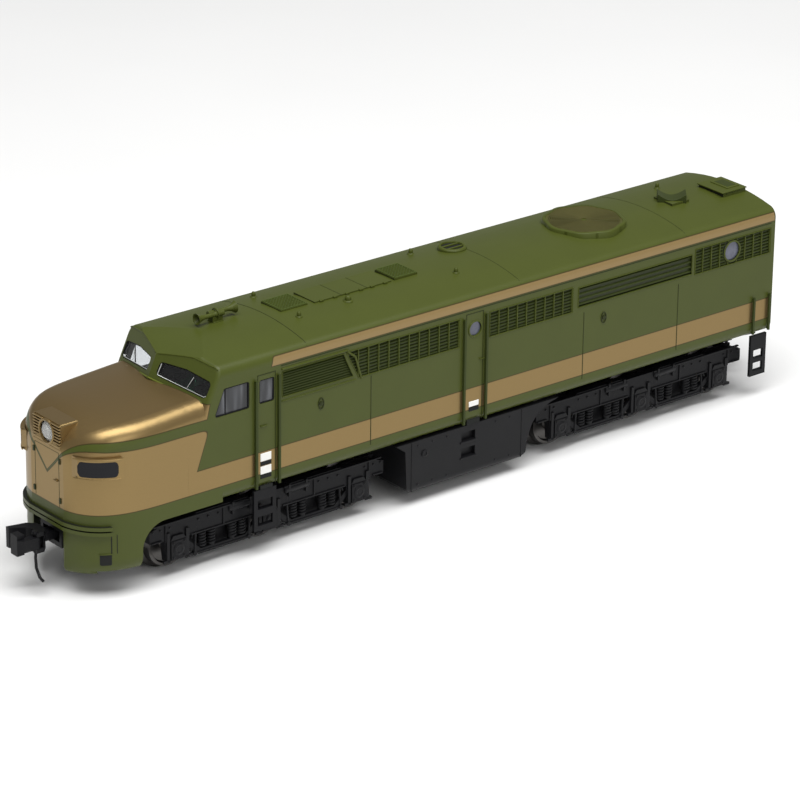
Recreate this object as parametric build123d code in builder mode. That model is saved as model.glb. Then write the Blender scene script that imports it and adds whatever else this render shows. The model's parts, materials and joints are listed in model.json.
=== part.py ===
from build123d import *
import os
from math import atan2, cos, hypot, pi, radians, sin, sqrt

# N scale (1:160, 9 mm gauge) streamlined cab diesel with two three-axle trucks.
# +X is the nose, +Y the left side, +Z up; Z = 0 is the bottom of the wheel flanges
# and X = 0 the middle of the length over the couplers.  Millimetres throughout.

os.makedirs("parts", exist_ok=True)

# ---------------------------------------------------------------- driving sizes
HALF_WIDTH = 9.8          # body shell, centre line to side sheet
SILL_Z = 9.4              # bottom edge of the side sheets
EAVE_Z = 27.7             # where the side sheet would meet the roof arc
CREST_Z = 29.05           # roof along the centre line
EAVE_RADIUS = 1.5
WALL = 0.9                # moulded shell
REAR_X = -58.8
NOSE_X = 58.3             # flat centre panel of the nose
GAP = 0.3                 # general clearance between separate pieces
FIT = 0.03                # running fits and seated pieces

RAIL_TOP_Z = 0.6
TREAD_R = 3.175           # 40 inch wheels at 1:160
FLANGE_R = TREAD_R + RAIL_TOP_Z
AXLE_Z = FLANGE_R
AXLE_SPACING = 14.75
FRONT_TRUCK_X = 29.0
REAR_TRUCK_X = -36.0

SHAFT_Z = 14.0            # motor, flywheels and worms share this line
MOTOR_X = -3.4
SHAFT_R = 0.75

# cab front: the two windshield planes meet in a V on the centre line
SHIELD_BASE = (42.6, 0, 24.4)
SHIELD_SIDE_RUN = (-2.05, 9.0, -1.2)
SHIELD_RAKE = (-1.5, 0, 3.2)

COUPLER_Z = 7.1
COUPLER_REACH = 63.8

SIDE_CLEAR = 12.0         # start of cuts made right across the body, outside both sides


# ---------------------------------------------------------------- helpers
def save(builder, label):
    builder.part.label = label
    export_step(builder.part, f"parts/{label}.step")


def box_between(low, high, mode=Mode.ADD):
    """Axis-aligned block between two opposite corners, given in any order."""
    centre = [(a + b) / 2 for a, b in zip(low, high)]
    with Locations(Location(centre)):
        Box(*[abs(b - a) for a, b in zip(low, high)], mode=mode)


def along_x(x, y=0.0, z=0.0):
    """Sketch plane facing +X with sketch axes +Y and +Z."""
    return Plane(origin=(x, y, z), x_dir=(0, 1, 0), z_dir=(1, 0, 0))


def along_y(x=0.0, y=0.0, z=0.0):
    """Sketch plane for profiles seen from the left: sketch axes +X and +Z, facing -Y."""
    return Plane(origin=(x, y, z), x_dir=(1, 0, 0), z_dir=(0, -1, 0))


PLAN_START_X, PLAN_TIP_X, PLAN_POWER = 46.0, 58.5, 3.0


def plan_half(x, inset=0.0):
    """Half width of the nose in plan: a superellipse blended into the straight sides."""
    half, reach = HALF_WIDTH - inset, PLAN_TIP_X - PLAN_START_X - inset
    if x <= PLAN_START_X:
        return half
    return half * max(0.0, 1 - ((x - PLAN_START_X) / reach) ** PLAN_POWER) ** (1 / PLAN_POWER)


def crown_z(x):
    """Height of the hood on the centre line: a gentle slope that rolls over to the front."""
    slope, roll_start, roll_drop, power = 0.065, 50.0, 3.2, 3.5
    roll = max(0.0, (x - roll_start) / (NOSE_X - roll_start)) ** power
    return 24.7 - slope * (x - 38) - roll_drop * roll


# ---------------------------------------------------------------- body shell
def roof_section(x, inset, bottom):
    """Sketch of the body cross-section at a station, shrunk by an inset."""
    half = HALF_WIDTH - inset
    eave = EAVE_Z - inset
    with BuildSketch(along_x(x)) as section:
        with BuildLine():
            Polyline((-half, eave), (-half, bottom), (half, bottom), (half, eave))
            ThreePointArc((-half, eave), (0, CREST_Z - inset), (half, eave))
        make_face()
        eaves = section.vertices().group_by(Axis.Z)[-1]
        fillet(eaves, EAVE_RADIUS - inset / 2)
    return section


HOOD_REAR_X = 38.0
HOOD_STATIONS = (HOOD_REAR_X, 42, 46, 49, 51.5, 53.5, 55.0, 56.2, 57.1, 57.8, NOSE_X)
HOOD_DROOP = 1.05         # crown to shoulder at full width


def hood_section(x, inset, bottom):
    """Nose section: upright sides, rounded shoulders and a crowned hood."""
    station = x - inset * max(0.0, (x - PLAN_START_X) / (NOSE_X - PLAN_START_X))
    half = plan_half(station, inset)
    crown = crown_z(x) - inset
    shoulder = crown - HOOD_DROOP * (half / HALF_WIDTH) ** 2
    with BuildSketch(along_x(station)) as section:
        with BuildLine():
            Polyline((-half, shoulder), (-half, bottom), (half, bottom), (half, shoulder))
            ThreePointArc((-half, shoulder), (0, crown), (half, shoulder))
        make_face()
        shoulders = section.vertices().group_by(Axis.Z)[-1]
        fillet(shoulders, min(2.4, half * 0.5))
    return section


def shield_plane(side, offset=0.0):
    """Plane of one windshield half, facing forward; side is +1 left, -1 right."""
    run = Vector(SHIELD_SIDE_RUN[0], side * SHIELD_SIDE_RUN[1], SHIELD_SIDE_RUN[2])
    normal = run.cross(Vector(*SHIELD_RAKE)) * side
    normal = normal.normalized()
    return Plane(origin=Vector(*SHIELD_BASE) + normal * offset, x_dir=run * side, z_dir=normal)


def nose_outline(inset):
    """Plan outline of nose and pilot as points of the superellipse, rear edge open."""
    run = NOSE_X - inset - PLAN_START_X
    stations = [PLAN_START_X + run * sin(radians(a)) for a in (0, 20, 36, 50, 62, 72, 80, 86, 90)]
    left = [(x, plan_half(x, inset)) for x in stations]
    return left, [(x, -y) for x, y in reversed(left)]


CAB_FRONT_X = 43.4        # foremost point of the cab, before the windshield planes cut it
CAB_CORNER_RADIUS = 0.6
VISOR_START_X, VISOR_RADIUS = 34.0, 18.0     # the cab roof rolls down towards the windshields
VISOR_CUT_LENGTH, VISOR_CUT_HEIGHT = 12.0, 8.0


def body_mass(inset, bottom):
    """Outer (inset 0) or inner (inset = wall) solid of body and cab."""
    section = roof_section(REAR_X + inset, inset, bottom)
    extrude(section.sketch, amount=CAB_FRONT_X - REAR_X - inset)
    for side in (1, -1):
        split(bisect_by=shield_plane(side, -inset), keep=Keep.BOTTOM)
    with BuildSketch(along_y(VISOR_START_X, SIDE_CLEAR, CREST_Z - inset)) as visor:
        with Locations((VISOR_CUT_LENGTH / 2, 0)):
            Rectangle(VISOR_CUT_LENGTH, VISOR_CUT_HEIGHT)
        with Locations((0, -VISOR_RADIUS)):
            Circle(VISOR_RADIUS, mode=Mode.SUBTRACT)
    extrude(visor.sketch, amount=2 * SIDE_CLEAR, mode=Mode.SUBTRACT)


# side openings: cab window, door window and portholes
CAB_WINDOW = ((39.3, 21.3), (33.7, 21.3), (33.7, 25.0), (37.7, 25.0))
DOOR_WINDOW = ((29.7, 21.4), (32.1, 24.7))
PORTHOLES = ((-3.9, 23.1, 1.0), (-50.6, 23.4, 1.35))
# grille recesses as outline points (x, z)
GRILLES = {
    "cab": ((28.4, 21.5), (16.8, 21.5), (17.9, 23.8), (18.4, 25.0), (28.4, 25.0)),
    "front": ((15.9, 21.1), (-1.2, 21.1), (-1.2, 25.1), (18.0, 25.1)),
    "middle": ((-6.4, 21.3), (-21.1, 21.3), (-21.1, 24.9), (-6.4, 24.9)),
    "shutter": ((-22.1, 21.7), (-43.0, 21.7), (-43.0, 24.6), (-22.1, 24.6)),
    "rear": ((-43.6, 21.5), (-58.0, 21.5), (-58.0, 25.2), (-43.6, 25.2)),
}
GRILLE_DEPTH = 0.35
# windshield pane corners: along the base and up the rake from the V
PANE = ((0.9, 0.85), (9.4, 0.8), (9.4, 3.1), (5.2, 3.3), (1.0, 2.75))


def pane_sketch(side, depth, shrink=0.0):
    """Outline of one windshield pane on a plane parallel to the cab face."""
    with BuildSketch(shield_plane(side, depth)) as pane:
        with BuildLine():
            Polyline(*[(side * u, v) for u, v in PANE], close=True)
        make_face()
        fillet(pane.vertices(), 0.55)
        if shrink:
            offset(amount=-shrink)
    return pane.sketch


def window_sketches(side, shrink, y):
    """Cab window, door window and portholes of one side, on a plane at height y."""
    with BuildSketch(along_y(y=side * y)) as openings:
        with BuildLine():
            Polyline(*CAB_WINDOW, close=True)
        make_face()
        fillet(openings.vertices(), 0.35)
        (x0, z0), (x1, z1) = DOOR_WINDOW
        with Locations(((x0 + x1) / 2, (z0 + z1) / 2)):
            RectangleRounded(x1 - x0, z1 - z0, 0.3)
        for x, z, radius in PORTHOLES:
            with Locations((x, z)):
                Circle(radius)
        if shrink:
            offset(amount=-shrink)
    return openings


FAN_X, FAN_R, FAN_SEAT_Z = -31.5, 5.6, 28.35
# raised roof panels: low corner and high corner in plan, height of the top
ROOF_PANELS = (((17.7, -3.0), (22.1, 1.3), 29.2),
               ((3.8, -3.0), (16.7, 1.5), 29.2),
               ((-0.7, -2.8), (3.2, 1.4), 29.3),
               ((-58.4, -1.1), (-54.1, 3.9), 29.45),
               ((-48.9, -1.3), (-45.7, 2.5), 29.3))

PILOT_Z, LIP_Z = 3.7, 2.9
PILOT_REAR_X = 50.5
ARCH_RADIUS = 3.5
COUPLER_SLOT = (3.3, 9.0)     # half width and top of the opening in the pilot
RIDGES_Z, RIDGE_HEIGHT, RIDGE_STAND, RIDGE_REAR_X = (8.95, 9.65), 0.5, 0.45, 54.7
BEZEL_FOOT_X, BEZEL_FACE_X = 55.5, 58.1
BEZEL_WIDTH, BEZEL_HEIGHT = 6.0, 3.7
LENS_Z, LENS_R = 21.2, 1.4

with BuildPart() as body_shell:
    body_mass(0.0, SILL_Z)
    cab_corners = [edge for edge in body_shell.edges().filter_by(GeomType.LINE)
                   if edge.center().X > HOOD_REAR_X and edge.center().Z > 18
                   and abs(edge.center().Y) > HALF_WIDTH - 0.1]
    fillet(cab_corners, CAB_CORNER_RADIUS)
    loft([hood_section(x, 0.0, LIP_Z).sketch.face() for x in HOOD_STATIONS])
    # anticlimber: two ridges across the front of the nose
    for ridge_z in RIDGES_Z:
        with BuildSketch(Plane.XY.offset(ridge_z)) as ridge:
            left, right = nose_outline(-RIDGE_STAND)
            with BuildLine():
                Spline(*left)
                Line(left[-1], right[0])
                Spline(*right)
                Line(right[-1], left[0])
            make_face()
            with Locations((RIDGE_REAR_X + 5, 0)):
                Rectangle(10, 30, mode=Mode.INTERSECT)
        extrude(ridge.sketch, amount=RIDGE_HEIGHT)
    # square headlight bezel standing out of the hood front
    with BuildSketch(along_x(BEZEL_FOOT_X, 0, LENS_Z - 0.1)) as bezel:
        RectangleRounded(BEZEL_WIDTH, BEZEL_HEIGHT, 0.35)
    extrude(bezel.sketch, amount=BEZEL_FACE_X - BEZEL_FOOT_X)
    for (x0, y0), (x1, y1), top in ROOF_PANELS:
        box_between((x0, y0, 28.2), (x1, y1, top))

    # hollow interior: the body first, then the nose
    with BuildPart(mode=Mode.PRIVATE) as body_hollow:
        body_mass(WALL, SILL_Z - 1)
    add(body_hollow.part, mode=Mode.SUBTRACT)
    loft([hood_section(x, WALL, LIP_Z - 1).sketch.face() for x in HOOD_STATIONS],
         mode=Mode.SUBTRACT)

    # wheel arch behind the pilot, higher sides beside the centre lip
    with BuildSketch(along_y(y=SIDE_CLEAR)) as arch:
        with BuildLine():
            Polyline((HOOD_REAR_X - 1, LIP_Z - 1), (PILOT_REAR_X, LIP_Z - 1),
                     (PILOT_REAR_X, SILL_Z), (HOOD_REAR_X - 1, SILL_Z), close=True)
        make_face()
        corner = arch.vertices().sort_by_distance((PILOT_REAR_X, SIDE_CLEAR, SILL_Z))[0]
        fillet(corner, ARCH_RADIUS)
    extrude(arch.sketch, amount=2 * SIDE_CLEAR, mode=Mode.SUBTRACT)
    for side in (1, -1):
        box_between((40, side * 6.6, LIP_Z - 1), (60, side * 12, PILOT_Z), mode=Mode.SUBTRACT)
    half, top = COUPLER_SLOT
    box_between((55, -half, LIP_Z - 1), (60, half, top), mode=Mode.SUBTRACT)

    # windshields, side windows, portholes and grille recesses
    for side in (1, -1):
        extrude(pane_sketch(side, 0.5), amount=-2.2, mode=Mode.SUBTRACT)
        openings = window_sketches(side, 0, HALF_WIDTH + 0.5)
        extrude(openings.sketch, amount=side * 2.0, mode=Mode.SUBTRACT)
        for outline in GRILLES.values():
            with BuildSketch(along_y(y=side * (HALF_WIDTH + 0.5))) as recess:
                with BuildLine():
                    Polyline(*outline, close=True)
                make_face()
            extrude(recess.sketch, amount=side * (0.5 + GRILLE_DEPTH), mode=Mode.SUBTRACT)
    # seats for the fan and the headlight
    with Locations((FAN_X, 0, FAN_SEAT_Z)):
        Cylinder(FAN_R + FIT, 2, align=(Align.CENTER, Align.CENTER, Align.MIN), mode=Mode.SUBTRACT)
    with BuildSketch(along_x(55, 0, LENS_Z)) as bore:
        Circle(LENS_R)
    extrude(bore.sketch, amount=5, mode=Mode.SUBTRACT)
save(body_shell, "body_shell")


# ---------------------------------------------------------------- fittings on the shell
with BuildPart() as windshield_glazing:
    for side in (1, -1):
        extrude(pane_sketch(side, -0.2, FIT), amount=-0.5)
save(windshield_glazing, "windshield_glazing")

with BuildPart() as side_glazing:
    for side in (1, -1):
        panes = window_sketches(side, FIT, HALF_WIDTH - 0.2)
        extrude(panes.sketch, amount=side * 0.5)
save(side_glazing, "side_glazing")

LENS_BACK_X = 56.3
with BuildPart() as headlight_lens:
    with BuildSketch(along_x(LENS_BACK_X, 0, LENS_Z)) as rim:
        Circle(LENS_R - FIT)
    extrude(rim.sketch, amount=1.7)
    with Locations((LENS_BACK_X + 1.7, 0, LENS_Z)):
        with Locations(Location((0, 0, 0), (0, 90, 0))):
            Cone(LENS_R - FIT, 0.9, 0.35, align=(Align.CENTER, Align.CENTER, Align.MIN))
save(headlight_lens, "headlight_lens")

with BuildPart() as light_guide:
    box_between((40.0, -1.2, LENS_Z - 0.7), (LENS_BACK_X - 0.1, 1.2, LENS_Z + 0.7))
save(light_guide, "light_guide")

# number boards: slices of the nose outline grown outwards, on both corners
BOARD_Z, BOARD_HEIGHT, BOARD_STAND = 18.1, 2.8, 0.5
with BuildPart() as number_boards:
    with BuildSketch(Plane.XY.offset(BOARD_Z - BOARD_HEIGHT / 2)) as strip:
        for inset, mode in ((-BOARD_STAND, Mode.ADD), (-0.02, Mode.SUBTRACT)):
            left, right = nose_outline(inset)
            with BuildLine():
                Spline(*left)
                Line(left[-1], right[0])
                Spline(*right)
                Line(right[-1], left[0])
            make_face(mode=mode)
        with Locations((55.6, 0)):
            Rectangle(4.7, 30, mode=Mode.INTERSECT)
    extrude(strip.sketch, amount=BOARD_HEIGHT)
save(number_boards, "number_boards")

with BuildPart() as roof_fan:
    with Locations((FAN_X, 0, FAN_SEAT_Z)):
        Cylinder(FAN_R, 1.1, align=(Align.CENTER, Align.CENTER, Align.MIN))
    with Locations((FAN_X, 0, FAN_SEAT_Z + 0.55)):
        Cylinder(FAN_R - 0.6, 0.6, align=(Align.CENTER, Align.CENTER, Align.MIN),
                 mode=Mode.SUBTRACT)
        Cylinder(0.9, 0.5, align=(Align.CENTER, Align.CENTER, Align.MIN))
        for angle in range(0, 180, 30):
            with Locations(Location((0, 0, 0), (0, 0, angle))):
                Box(2 * FAN_R - 0.8, 0.3, 0.35, align=(Align.CENTER, Align.CENTER, Align.MIN))
save(roof_fan, "roof_fan")

# two-trumpet air horn on a pedestal, one bell forward and one back
HORN_X, HORN_Y, HORN_Z = 30.6, -1.5, 30.05
HORN_FOOT_Z = 29.08
with BuildPart() as air_horn:
    box_between((HORN_X - 0.8, HORN_Y - 0.5, HORN_FOOT_Z), (HORN_X + 0.8, HORN_Y + 0.5, HORN_Z - 0.2))
    for direction, y in ((1, HORN_Y + 0.3), (-1, HORN_Y - 0.3)):
        # half section of the trumpet: blind end, throat, then a hollow flaring bell
        trumpet = ((-1.0, 0), (-1.0, 0.38), (0.3, 0.38), (0.5, 0.28), (2.1, 0.32), (2.8, 0.5),
                   (3.3, 0.8), (3.3, 0.7), (2.7, 0.3), (2.3, 0))
        with BuildSketch(along_y(y=y)) as bell:
            with BuildLine():
                Polyline(*[(HORN_X + direction * x, HORN_Z + r) for x, r in trumpet], close=True)
            make_face()
        revolve(bell.sketch, axis=Axis((0, y, HORN_Z), (1, 0, 0)))
save(air_horn, "air_horn")

RAIL_Y0, RAIL_Y1 = HALF_WIDTH, HALF_WIDTH + 0.45
DOOR_RAIL_X = (32.8, 29.1, -1.9, -5.7)
REAR_RAIL_X = (-55.1, -58.1)


def grab_rail(side, x, z0, z1):
    """Upright rail on two short posts that stand on the side sheet."""
    box_between((x - 0.16, side * (RAIL_Y1 - 0.3), z0), (x + 0.16, side * RAIL_Y1, z1))
    for z in (z0 + 0.15, z1 - 0.45):
        box_between((x - 0.16, side * RAIL_Y0, z), (x + 0.16, side * RAIL_Y1, z + 0.3))


with BuildPart() as grab_rails:
    for side in (1, -1):
        for x in DOOR_RAIL_X:
            grab_rail(side, x, 9.8, 24.9)
        for x in REAR_RAIL_X:
            grab_rail(side, x, 9.9, 15.4)
save(grab_rails, "grab_rails")


# ---------------------------------------------------------------- hanging steps
def step_plate(x0, x1, z_low, z_high, rungs):
    """Black boarding steps: a flat plate with openings, held by an arm under the sill."""
    for side in (1, -1):
        y_out, y_in = side * (HALF_WIDTH - 0.1), side * (HALF_WIDTH - 0.5)
        box_between((x0, y_in, z_low), (x1, y_out, z_high))
        for z in rungs:
            box_between((x0 + 0.6, side * 8, z), (x1 - 0.6, side * 10, z + 1.3), mode=Mode.SUBTRACT)
        for z in rungs:
            box_between((x0 + 0.3, side * (HALF_WIDTH - 0.8), z - 0.3), (x1 - 0.3, y_out, z))


STEP_TOP_Z = SILL_Z - 0.05
with BuildPart() as cab_steps:
    step_plate(29.3, 32.9, 3.6, STEP_TOP_Z, (4.3, 6.6))
save(cab_steps, "cab_steps")

with BuildPart() as rear_steps:
    step_plate(-58.2, -55.2, 3.2, STEP_TOP_Z, (3.9, 5.8))
save(rear_steps, "rear_steps")


# ---------------------------------------------------------------- fuel tank cover
TANK = ((-19.2, SILL_Z - 0.1), (-17.6, 8.9), (-15.6, 7.9), (-14.5, 6.6), (-13.8, 4.9), (-13.4, 2.6),
        (-12.4, 1.7), (6.4, 1.7), (7.4, 2.6), (7.7, 8.2), (9.2, SILL_Z - 0.1))
TANK_HALF = HALF_WIDTH - 0.2
with BuildPart() as fuel_tank_cover:
    with BuildSketch(along_y(y=TANK_HALF)) as side_view:
        with BuildLine():
            Polyline(*TANK, close=True)
        make_face()
    extrude(side_view.sketch, amount=2 * TANK_HALF)
    fillet(fuel_tank_cover.edges().filter_by(Axis.X).group_by(Axis.Z)[0], 1.2)
    box_between((-12.9, -TANK_HALF + 0.9, 2.7), (6.8, TANK_HALF - 0.9, 12), mode=Mode.SUBTRACT)
    box_between((-25, -TANK_HALF + 0.9, 8.5), (12, TANK_HALF - 0.9, 12), mode=Mode.SUBTRACT)
    for side in (1, -1):
        for z in (4.8, 7.1):
            box_between((-4.4, side * (TANK_HALF - 0.6), z), (-2.0, side * 10, z + 1.3),
                        mode=Mode.SUBTRACT)
save(fuel_tank_cover, "fuel_tank_cover")


# ---------------------------------------------------------------- die-cast frame halves
FRAME_TOP_Z, FRAME_LOW_Z, TANK_BLOCK_Z = 21.0, 12.2, 3.1
FRAME_HALF = 7.6
FRAME_SPLIT = 0.15
TURRET_R, TURRET_TOP_Z = 5.5, 13.0
TURRET_FIT = 0.08
MOTOR_R, FLYWHEEL_R, WORM_R = 6.3, 5.2, 2.0
FLYWHEEL_X = (MOTOR_X - 11.9, MOTOR_X + 11.9)
FLYWHEEL_LENGTH = 6.4
BEARING_OFFSET = 6.7
BEARING_R, BEARING_LENGTH = 1.7, 1.4
SCREWS = ((-53.5, 17.5), (-23.5, 18.6), (17.0, 18.6), (39.5, 14.6))
SCREW_R, SCREW_HEAD_R = 0.6, 1.1
FRAME_SIDE = ((-57.3, 20.2), (-57.3, 9.0), (-55.4, 9.0), (-55.4, FRAME_LOW_Z), (-20.0, FRAME_LOW_Z),
              (-20.0, 9.7), (-12.5, 9.7), (-12.5, TANK_BLOCK_Z), (6.4, TANK_BLOCK_Z), (6.4, 9.7),
              (12.2, 9.7), (12.2, FRAME_LOW_Z), (51.2, FRAME_LOW_Z), (51.2, 9.0), (56.8, 9.0),
              (56.8, 14.0), (54.0, 16.4), (37.0, 16.4), (37.0, FRAME_TOP_Z), (-56.0, FRAME_TOP_Z))


def shaft_pocket(x0, x1, radius):
    with BuildSketch(along_x(x0, 0, SHAFT_Z)) as pocket:
        Circle(radius)
    extrude(pocket.sketch, amount=x1 - x0, mode=Mode.SUBTRACT)


def frame_half(side):
    with BuildPart() as half:
        with BuildSketch(along_y(y=side * FRAME_SPLIT)) as side_view:
            with BuildLine():
                Polyline(*FRAME_SIDE, close=True)
            make_face()
        extrude(side_view.sketch, amount=-side * (FRAME_HALF - FRAME_SPLIT))
        # narrow tongues inside the nose and over the rear coupler
        for x0, x1, low, high in ((49.0, 60, 8, 18), (-60, -54.6, 8, FRAME_LOW_Z)):
            box_between((x0, side * 3.6, low), (x1, side * 9, high), mode=Mode.SUBTRACT)
        shaft_pocket(MOTOR_X - 8.6, MOTOR_X + 8.6, MOTOR_R + 0.02)
        for x in FLYWHEEL_X:
            shaft_pocket(x - 3.6, x + 3.6, FLYWHEEL_R + 0.4)
        shaft_pocket(REAR_TRUCK_X - 7.8, FRONT_TRUCK_X + 7.8, 1.45)
        for truck_x in (FRONT_TRUCK_X, REAR_TRUCK_X):
            shaft_pocket(truck_x - 5.6, truck_x + 5.6, WORM_R + 0.4)
            for end in (-1, 1):
                x = truck_x + end * BEARING_OFFSET
                shaft_pocket(x - BEARING_LENGTH / 2, x + BEARING_LENGTH / 2, BEARING_R)
            with BuildSketch(Plane.XY.offset(FRAME_LOW_Z - 1)) as turret:
                with Locations((truck_x, 0)):
                    Circle(TURRET_R + TURRET_FIT)
            extrude(turret.sketch, amount=TURRET_TOP_Z + 0.15 - FRAME_LOW_Z + 1, mode=Mode.SUBTRACT)
        for x, z in SCREWS:
            with BuildSketch(along_y(x=x, y=10, z=z)) as hole:
                Circle(SCREW_R)
            extrude(hole.sketch, amount=20, mode=Mode.SUBTRACT)
            with BuildSketch(along_y(x=x, y=side * (FRAME_HALF + 1), z=z)) as counterbore:
                Circle(SCREW_HEAD_R + 0.1)
            extrude(counterbore.sketch, amount=side * 2, mode=Mode.SUBTRACT)
    return half


save(frame_half(1), "frame_left")
save(frame_half(-1), "frame_right")

with BuildPart() as frame_screws:
    for x, z in SCREWS:
        with BuildSketch(along_y(x=x, y=FRAME_HALF - 1, z=z)) as shank:
            Circle(SCREW_R - FIT)
        extrude(shank.sketch, amount=2 * FRAME_HALF - 2)
        for side in (1, -1):
            head_y = side * (FRAME_HALF - 1)
            with BuildSketch(along_y(x=x, y=head_y, z=z)) as head:
                Circle(SCREW_HEAD_R)
            extrude(head.sketch, amount=-side * 0.8)
            box_between((x - 0.8, head_y + side * 0.5, z - 0.12), (x + 0.8, head_y + side * 2, z + 0.12),
                        mode=Mode.SUBTRACT)
save(frame_screws, "frame_screws")

BOARD_LOW_Z = FRAME_TOP_Z + 0.02
with BuildPart() as circuit_board:
    box_between((-52, -4.5, BOARD_LOW_Z), (36.5, 4.5, BOARD_LOW_Z + 0.8))
    for x in (-40, -28, 12, 24):
        box_between((x, -1.0, BOARD_LOW_Z + 0.8), (x + 2.4, 1.0, BOARD_LOW_Z + 1.5))
save(circuit_board, "circuit_board")

with BuildPart() as headlight_led:
    with BuildSketch(along_x(37.2, 0, LENS_Z)) as body:
        Circle(0.75)
    extrude(body.sketch, amount=2.0)
    for y in (-0.4, 0.4):
        box_between((36.52, y - 0.15, LENS_Z), (37.3, y + 0.15, LENS_Z + 0.3))
save(headlight_led, "headlight_led")


# ---------------------------------------------------------------- motor, fixed half
MOTOR_HALF_LENGTH = 7.4
MOTOR_WALL = 0.6
MOTOR_FLAT = 5.3


def motor_slice(x0, x1, outer, inner=None):
    """Round ring or disc about the shaft with flats above and below."""
    with BuildSketch(along_x(x0, 0, SHAFT_Z)) as profile:
        Circle(outer)
        Rectangle(2 * outer, 2 * min(outer, MOTOR_FLAT), mode=Mode.INTERSECT)
        if inner:
            Circle(inner, mode=Mode.SUBTRACT)
    extrude(profile.sketch, amount=x1 - x0)


with BuildPart() as motor_case:
    motor_slice(MOTOR_X - MOTOR_HALF_LENGTH, MOTOR_X + MOTOR_HALF_LENGTH, MOTOR_R - 0.02)
    with BuildSketch(along_x(MOTOR_X - 9, 0, SHAFT_Z)) as bore:
        Circle(MOTOR_R - MOTOR_WALL)
        Rectangle(20, 2 * (MOTOR_FLAT - MOTOR_WALL), mode=Mode.INTERSECT)
    extrude(bore.sketch, amount=18, mode=Mode.SUBTRACT)
save(motor_case, "motor_case")

MAGNET_R = 4.45
with BuildPart() as motor_magnets:
    with BuildSketch(along_x(MOTOR_X - 5, 0, SHAFT_Z)) as arcs:
        Circle(MOTOR_R - MOTOR_WALL - FIT)
        Circle(MAGNET_R, mode=Mode.SUBTRACT)
        Rectangle(20, 5.6, mode=Mode.INTERSECT)
    extrude(arcs.sketch, amount=10)
save(motor_magnets, "motor_magnets")

with BuildPart() as motor_end_caps:
    for end in (-1, 1):
        inner_x = MOTOR_X + end * MOTOR_HALF_LENGTH
        outer_x = inner_x + end * 0.9
        motor_slice(min(inner_x, outer_x), max(inner_x, outer_x), MOTOR_R - 0.02, SHAFT_R + FIT)
save(motor_end_caps, "motor_end_caps")

COMMUTATOR_R = 1.5
COMMUTATOR_X = (MOTOR_X + 5.2, MOTOR_X + 6.9)
with BuildPart() as motor_brushes:
    for side in (1, -1):
        box_between((COMMUTATOR_X[0] + 0.4, side * (COMMUTATOR_R + 0.02), SHAFT_Z - 0.5),
                    (COMMUTATOR_X[1] - 0.3, side * 5.4, SHAFT_Z + 0.5))
save(motor_brushes, "motor_brushes")


# ---------------------------------------------------------------- motor, turning half
def shaft_disc(x0, x1, radius, bore=None):
    with BuildSketch(along_x(x0, 0, SHAFT_Z)) as disc:
        Circle(radius)
        if bore:
            Circle(bore, mode=Mode.SUBTRACT)
    extrude(disc.sketch, amount=x1 - x0)


with BuildPart() as motor_shaft:
    shaft_disc(MOTOR_X - 16.4, MOTOR_X + 16.4, SHAFT_R)
save(motor_shaft, "motor_shaft")

POLES = 5
with BuildPart() as motor_armature:
    with BuildSketch(along_x(MOTOR_X - 4.6, 0, SHAFT_Z)) as lamination:
        Circle(1.9)
        with PolarLocations(0, POLES):
            with Locations((2.4, 0)):
                Rectangle(2.4, 1.0)
        with BuildSketch(mode=Mode.PRIVATE) as shoes:
            Circle(4.1)
            Circle(3.4, mode=Mode.SUBTRACT)
            with PolarLocations(4.0, POLES, start_angle=180 / POLES):
                Rectangle(3, 0.9, mode=Mode.SUBTRACT)
        add(shoes.sketch)
        Circle(SHAFT_R, mode=Mode.SUBTRACT)
    extrude(lamination.sketch, amount=9.2)
    shaft_disc(*COMMUTATOR_X, COMMUTATOR_R, SHAFT_R)
save(motor_armature, "motor_armature")

with BuildPart() as flywheels:
    for x in FLYWHEEL_X:
        shaft_disc(x - FLYWHEEL_LENGTH / 2, x + FLYWHEEL_LENGTH / 2, FLYWHEEL_R, SHAFT_R)
save(flywheels, "flywheels")

COUPLING_OFFSET, COUPLING_LENGTH = 17.3, 4.2
with BuildPart() as drive_couplings:
    for end in (-1, 1):
        x = MOTOR_X + end * COUPLING_OFFSET
        shaft_disc(x - COUPLING_LENGTH / 2, x + COUPLING_LENGTH / 2, 1.15, SHAFT_R)
save(drive_couplings, "drive_couplings")


# ---------------------------------------------------------------- gears
MODULE = 0.4
PITCH = pi * MODULE
WORM_WHEEL_TEETH, IDLER_TEETH, AXLE_TEETH = 18, 24, 12
WORM_PITCH_R = 1.6
WORM_WHEEL_Z = SHAFT_Z - WORM_PITCH_R - MODULE * WORM_WHEEL_TEETH / 2
TOOTH_THIN = 0.2          # backlash taken off every tooth at the pitch circle
PIN_R = 0.5


def mesh_point(near, near_r, far, far_r):
    """Upper point at given distances from two centres, all in the X-Z plane."""
    dx, dz = far[0] - near[0], far[1] - near[1]
    span = hypot(dx, dz)
    along = (near_r ** 2 - far_r ** 2 + span ** 2) / (2 * span)
    off = sqrt(near_r ** 2 - along ** 2)
    return near[0] + (along * dx + off * dz) / span, near[1] + (along * dz - off * dx) / span


def sketch_angle(start, end):
    """Direction between two X-Z points, measured about +Y from +X."""
    return atan2(-(end[1] - start[1]), end[0] - start[0])


def meshed_phase(phase, teeth, other_teeth, direction):
    """Tooth angle of a gear that meshes with one whose tooth angle is known."""
    fraction = (direction - phase) * teeth / (2 * pi)
    return direction + pi - (0.5 - fraction) * 2 * pi / other_teeth


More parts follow.
